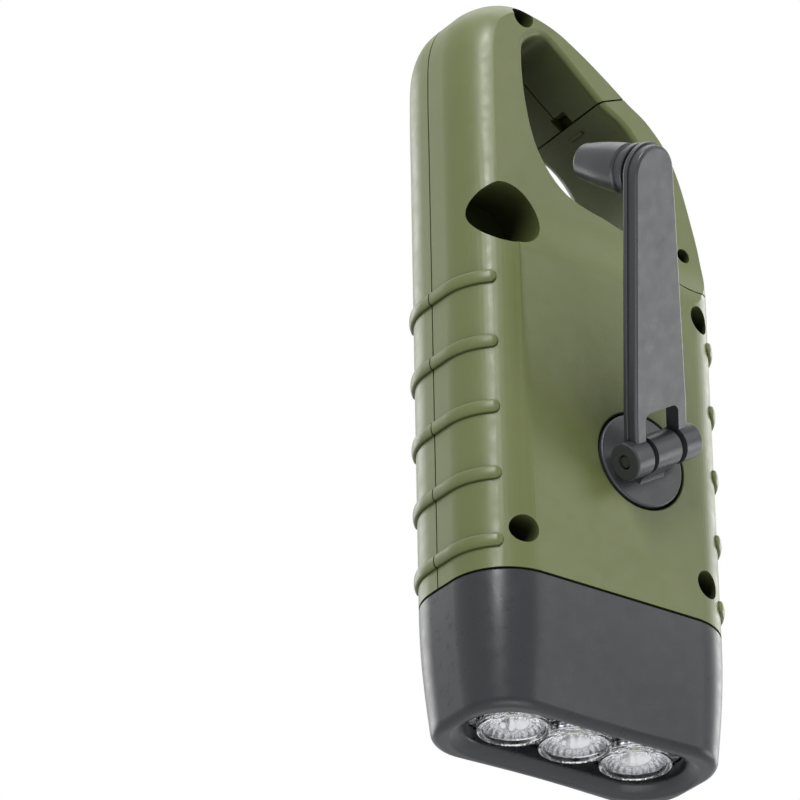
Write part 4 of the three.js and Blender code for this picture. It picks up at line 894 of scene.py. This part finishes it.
def makeHead():
    top = housing["seam"] - gap
    corner = housing["corner"]
    levels = roundedEdge(head["edge"], head["edgeSteps"]) + [(0, z) for z in head["levels"]]
    levels += [(0, top - head["topRise"]), (head["topInset"], top)]
    rings = []
    for inset, z in levels:
        waist = head["waist"] * (1 - smoothStep(z, 1, head["waistTop"]))
        inset += head["taper"] * (1 - sin(pi / 2 * min(z / head["taperTop"], 1)))
        rings.append(roundRing(halfWidth - inset, halfDepth - inset, corner - inset, z, waist,
                               head["sideSteps"]))
    cap = loft("cap", rings)

    def collarRing(thickness, z):
        inset = housing["wall"] + gap + thickness
        return roundRing(halfWidth - inset, halfDepth - inset, corner - inset, z)

    join(cap, loft("collar", [collarRing(0, z) for z in (top - head["collarFoot"], head["collarTop"])]))
    cut(cap, loft("inside", [collarRing(head["collarWall"], z) for z in (head["ledge"], far)]))
    cut(cap, loft("chamber", [roundRing(head["chamberHalf"], head["chamberRadius"], head["chamberRadius"], z)
                              for z in (head["floor"], head["ledge"] + gap)]))
    cut(cap, loft("pocket", [roundRing(head["straight"] + radius, radius, radius, z, 0, 1, 32)
                             for radius, z in head["mouth"]]))
    finishPiece(cap, "lampHead", headGrey, "housing", ["head_bezel"])

makeHead()
print("lamp head made")

# The lens block: three clear cups on a flange, with silver bowls in the cups and a skin in the flange
lens = {
    "pitch": 12.7, "sides": 72, "rimRadius": 6, "flutes": 18, "fluteDepth": 0.07, "fluteFrom": 3.1,
    "fluteTo": 5.1,
    "front": [(0, 1.75), (0.7, 1.79), (1.4, 1.92), (2.1, 2.2), (2.6, 2.55), (2.9, 2.95),
              (3.15, 3.05), (3.8, 2.95), (4.55, 2.72), (5.15, 2.45), (5.35, 2.2), (5.42, 1.75),
              (5.52, 1.57), (5.7, 1.5), (6.05, 1.5), (6.2, 1.57), (6.25, 1.72), (6.25, 4.4)],
    "back": [(5.95, 5.5), (5.6, 6.8), (4.98, 8.35), (4.4, 9.9), (3.9, 11.2), (0, 11.2)],
    "bore": [(0, 6.2), (1.6, 6.35), (2.5, 6.7), (2.8, 7.2), (2.8, 14), (0, 14)],
    "flangeLow": 4.3, "flangeHigh": 5.5, "skin": 0.12, "sunk": 0.15,
    "bowl": [(5.75, 2.7), (5.62, 3.4), (5.35, 4.2), (4.95, 5.0), (4.4, 5.8), (3.8, 6.5),
             (3.2, 7.05), (2.95, 7.2)],
    "streaks": 26, "streakDepth": 0.05,
}
lampPlaces = (-lens["pitch"], 0, lens["pitch"])

# A plate that fills the head's chamber but for a clearance round it
def chamberPlate(name, clearance, low, high):
    radius = head["chamberRadius"] - clearance
    return loft(name, [roundRing(head["chamberHalf"] - clearance, radius, radius, z, 0, 1, 32)
                       for z in (low, high)])

def makeLens():
    block = chamberPlate("block", gap, lens["flangeLow"], lens["flangeHigh"])
    for x in lampPlaces:
        rings = []
        for radius, z in lens["front"] + lens["back"]:
            fluted = lens["fluteFrom"] < radius < lens["fluteTo"] and z < lens["flangeLow"]
            ring = []
            for i in range(lens["sides"]):
                angle = 2 * pi * i / lens["sides"]
                lift = lens["fluteDepth"] * cos(lens["flutes"] * angle) if fluted else 0
                ring.append((x + radius * cos(angle), radius * sin(angle), z + lift))
            rings.append(ring)
        join(block, loft("cup", rings))
    for x in lampPlaces:
        cut(block, turned("bore", lens["bore"], "z", (x, 0, 0), 48))
    finishPiece(block, "lensBlock", clearLens, "housing", ["lens_block"], sharp=28)
    thick = lens["skin"]
    for k, x in enumerate(lampPlaces):
        rings = []
        for side, bowl in ((0, lens["bowl"]), (thick, lens["bowl"][::-1])):
            for radius, z in bowl:
                ring = []
                for i in range(2 * lens["sides"]):
                    angle = pi * i / lens["sides"]
                    out = radius + side + lens["streakDepth"] * cos(lens["streaks"] * angle)
                    ring.append((x + out * cos(angle), out * sin(angle), z + side))
                rings.append(ring)
        finishPiece(loft("bowl", rings, True), "cupSkin" + "ABC"[k], silver, "housing", sharp=60)
    low = lens["flangeLow"] + lens["sunk"]
    plate = chamberPlate("plate", 2 * gap, low, low + thick)
    for x in lampPlaces:
        cut(plate, turned("hole", [(lens["rimRadius"], 0), (lens["rimRadius"], 20)], "z", (x, 0, 0), 64))
    finishPiece(plate, "flangeSkin", silver, "housing", sharp=60)

makeLens()
print("lens block made")

# The solar panel and its moulded frame
frameProfile = [
    (0, -11.5), (0, -14.0), (0.08, -14.08), (0.85, -14.82), (1.05, -14.9), (2.35, -14.9), (2.55, -14.84),
    (2.72, -14.5), (2.86, -14.42), (3.0, -14.42), (3.12, -14.5), (3.3, -14.76), (3.5, -14.84), (5.15, -14.84),
    (5.4, -14.76), (5.6, -14.5), (6.3, -13.42), (6.3, -13.3), (4.6, -13.3), (4.6, -11.5),
]
cellLines = {"count": 8, "pitch": 4.4, "first": 41.0, "half": 0.11, "rise": 0.03, "face": -13.0,
             "overlap": 0.4, "depth": 0.1}

def makeSolar():
    s = solar
    full = s["halfWidth"] - s["windowHalf"]
    rings = [[(mix(a, c, inset / full), y, mix(b, d, inset / full))
              for (a, b), (c, d) in zip(frameOutline(), windowOutline())] for inset, y in frameProfile]
    rim = loft("rim", rings, True)
    finishPiece(rim, "solarFrame", frameGrey, "housing", ["solar_frame"], sharp=24)
    back = -halfDepth + s["seatDepth"] - gap
    panel = raisedY("panel", windowOutline(s["rebate"]), back - s["panel"], back, s["panelEdge"])
    finishPiece(panel, "solarPanel", cellCopper, "housing", ["solar_panel"])
    c = cellLines
    reach = s["windowHalf"] + c["overlap"]
    strip = boxBetween((-reach, c["face"] - c["rise"], c["first"] - c["half"]),
                       (reach, c["face"] + c["depth"], c["first"] + c["half"]))
    runTree(strip, repeated, {"Count": c["count"], "Offset": (0, 0, c["pitch"]), "Finish": lineTan})
    finishPiece(strip, "cellLines", None, "housing")

makeSolar()
print("solar panel made")

# Screws deep in their counterbores, each with a cross recess and turned its own way
def makeScrews():
    seat = screws["floorY"] + gap
    top = seat + screws["headHeight"]
    r = screws["headRadius"]
    profile = [(radius, screws["tipY"] + rise) for radius, rise in screws["point"]]
    profile += [(screws["shank"], seat), (r - screws["edge"], seat), (r, seat + screws["edge"])]
    profile += [(r * share, top - drop) for share, drop in screws["crown"]]
    model = turned("screw", profile, "y", sides=40)
    arm, half = r * screws["slotShare"], screws["slotWidth"] / 2
    cut(model, boxBetween((-arm, top - screws["slotDepth"], -half), (arm, top + 1, half)),
        boxBetween((-half, top - screws["slotDepth"], -arm), (half, top + 1, arm)))
    spots = meshObject("spots", [(x, 0, z) for x, z, bore, boss in screws["spots"]], [], False)
    runTree(spots, scattered, {"Screw": model, "Seed": screws["seed"], "Finish": steel})
    bpy.data.objects.remove(model)
    finishPiece(spots, "housingScrews", None, "housing",
                ["housing_screw_1", "housing_screw_2", "housing_screw_3", "housing_screw_4"])

makeScrews()

# The silver pin of the gate, its domed head at the front
def makeGatePin():
    g = gateShape
    low, high = -halfDepth + g["pinFront"], halfDepth - g["pinRear"]
    head, rise = g["pinHead"], g["pinHeadHeight"]
    dome = [(head * sin(angle), rise * 0.6 * (1 - cos(angle))) for angle in quarterTurn(8)]
    profile = [(radius, low + y) for radius, y in dome] + [(head, low + rise), (g["pinRadius"], low + rise)]
    profile += [(g["pinRadius"], high - 0.3), (g["pinRadius"] - 0.3, high), (0, high)]
    pin = turned("pin", profile, "y", (g["pin"][0], 0, g["pin"][1]), 48)
    finishPiece(pin, "gatePin", steel, "housing", ["gate_pin"])

makeGatePin()

# The push button in the left side, with a rounded face
def makeButton():
    b = button
    lowY, highY, lowZ, highZ = buttonLimits()
    outline = roundOutline(lowY, highY, lowZ, highZ, b["radius"], steps=8)
    face, inner = -halfWidth - b["proud"], -b["inner"] + b["flangeThickness"]
    rings = []
    for inset, rise in roundedEdge(b["edge"], 5):
        shrinkY, shrinkZ = 1 - 2 * inset / b["width"], 1 - 2 * inset / b["height"]
        rings.append([(face + rise, b["y"] + (y - b["y"]) * shrinkY, b["z"] + (z - b["z"]) * shrinkZ)
                      for y, z in outline])
    rings.append([(inner, y, z) for y, z in outline])
    body = loft("button", rings)
    join(body, boxBetween((-b["inner"], lowY, lowZ - b["flange"]), (inner, highY, highZ + b["flange"])))
    finishPiece(body, "pushButton", blackPlastic, "button", ["switch_button"])

makeButton()
print("screws, pin and button made")

# The crank: its hub, the folding arm and the knob, drawn along z and turned to their places
crankPlace = Matrix.Translation((crank["x"], 0, crank["z"])) @ Matrix.Rotation(
    radians(crank["direction"]), 4, "Y")
armPlace = crankPlace @ Matrix.Translation((0, crank["pivotY"], 0)) @ Matrix.Rotation(
    -radians(crank["lift"]), 4, "X")
arm = {"rootHalf": 6.9, "tipHalf": 5.2, "thickness": 2.8, "round": 0.6, "step": 0.35, "stepAt": -0.35,
       "slotHalf": 4.2, "slotLength": 7.6, "slotRound": 1.4, "knuckle": 3.3, "knuckleHalf": 8.3, "pin": 1,
       "knuckleEdge": [(0.5, 0), (0.15, 0.15), (0, 0.5)], "boss": 4.5, "bossHeight": 0.6, "bossEdge": 0.2}
knob = {"base": 4.7, "baseHeight": 1.1, "neck": 3.9, "neckHeight": 0.9, "body": 4.4, "tip": 3.2,
        "edge": 0.2, "length": 12.6, "axle": 1.3, "axleDepth": 9.6, "axleInArm": 1.2, "bodySteps": 8,
        "bulge": 0.18, "tipRound": 1.2}

def makeHub():
    top = halfDepth + hub["proud"]
    low = top - hub["thickness"]
    r = hub["radius"]
    profile = [(0, low), (r - hub["lowEdge"], low), (r, low + hub["lowEdge"])]
    profile += [(r - inset, top - drop) for inset, drop in hub["topEdge"]] + [(0, top)]
    disc = turned("disc", profile, "y", sides=96)
    join(disc, barY(hub["shaft"], 0, 0, hub["shaftEnd"], low + 1, 48))
    pivot, half, ear = crank["pivotY"], hub["earHalf"], hub["earRadius"]
    outline = [(pivot + ear * sin(angle), ear * cos(angle))
               for angle in (pi * i / 24 for i in range(25))]
    outline += [(top + rise, -ear - flare) for rise, flare in hub["earFoot"]]
    outline += [(top + rise, ear + flare) for rise, flare in reversed(hub["earFoot"])]
    join(disc, loft("ear", [[(x, y, z) for y, z in outline] for x in (-half, half)]))
    cut(disc, barX(arm["pin"] + gap, -far, far, pivot, 0, 40),
        barY(hub["screwRadius"] + gap, 0, 0, 0, hub["shaftEnd"] + hub["screwDepth"] + gap, 32))
    finishPiece(disc, "crankHub", crankGrey, "crank", ["crank_hub"], crankPlace, 36, 0.22)

def armOutline(inset):
    root, tip = arm["rootHalf"] - inset, arm["tipHalf"] - inset
    low = -arm["thickness"] / 2 + inset
    reach = crank["reach"]
    points = [(-root, low), (root, low), (root, arm["slotLength"])]
    return points + arcPoints(0, reach, tip, 0.06, pi - 0.06, 32) + [(-root, arm["slotLength"])]

def makeArm():
    half = arm["thickness"] / 2
    bar = raisedY("bar", armOutline(0), -half, arm["stepAt"], 0.5, 0.12)
    join(bar, raisedY("plate", armOutline(arm["step"]), arm["stepAt"] - 0.3, half, 0, arm["round"], 6))
    k, end = arm["knuckle"], arm["knuckleHalf"]
    knuckle = [(k - inset, rise - end) for inset, rise in arm["knuckleEdge"]]
    knuckle += [(radius, -x) for radius, x in reversed(knuckle)]
    join(bar, turned("knuckles", knuckle, "x"))
    boss, edge, face = arm["boss"], arm["bossEdge"], -half - arm["bossHeight"]
    profile = [(boss - edge, face), (boss, face + edge), (boss, 0)]
    join(bar, turned("boss", profile, "y", (0, 0, crank["reach"])))
    s, length, r = arm["slotHalf"], arm["slotLength"], arm["slotRound"]
    opening = [(-s, -10), (s, -10)] + arcPoints(s - r, length - r, r, 0, pi / 2, 8)
    opening += arcPoints(r - s, length - r, r, pi / 2, pi, 8)
    cut(bar, raisedY("opening", opening, -10, 10), barX(arm["pin"] + gap, -far, far, 0, 0, 40),
        barY(knob["axle"] + gap, 0, crank["reach"], -10, -half + knob["axleInArm"] + gap, 32))
    finishPiece(bar, "crankArm", crankGrey, "arm", ["crank_arm"], armPlace, 30)

def makeKnob():
    seat = -arm["thickness"] / 2 - arm["bossHeight"] - gap
    end = seat - knob["length"]
    bore = knob["axle"] + gap
    collar = seat - knob["baseHeight"]
    neck = collar - gap - knob["neckHeight"]
    base, slim, wide, edge = knob["base"], knob["neck"], knob["body"], knob["edge"]
    profile = [(bore, seat), (base - edge, seat), (base, seat - edge), (base, collar + 0.25),
               (base - edge, collar), (slim, collar - 0.15), (slim, neck + 0.1), (wide - 0.25, neck - 0.05),
               (wide, neck - 0.35)]
    tip, curve = knob["tip"], knob["tipRound"]
    last = end + curve
    for i in range(1, knob["bodySteps"] + 1):
        share = i / knob["bodySteps"]
        profile.append((mix(wide, tip, share) + knob["bulge"] * sin(pi * share),
                        mix(neck - 0.35, last, share)))
    for angle in quarterTurn(6)[1:]:
        profile.append((tip - curve * (1 - cos(angle)), last - curve * sin(angle)))
    profile += [(0, end), (0, seat - knob["axleDepth"] - gap), (bore, seat - knob["axleDepth"] - gap)]
    body = turned("knob", profile, "y", (0, 0, crank["reach"]), 72, True)
    finishPiece(body, "crankKnob", crankGrey, "knob", ["knob"], armPlace, 36)

makeHub()
makeArm()
makeKnob()
print("crank made")
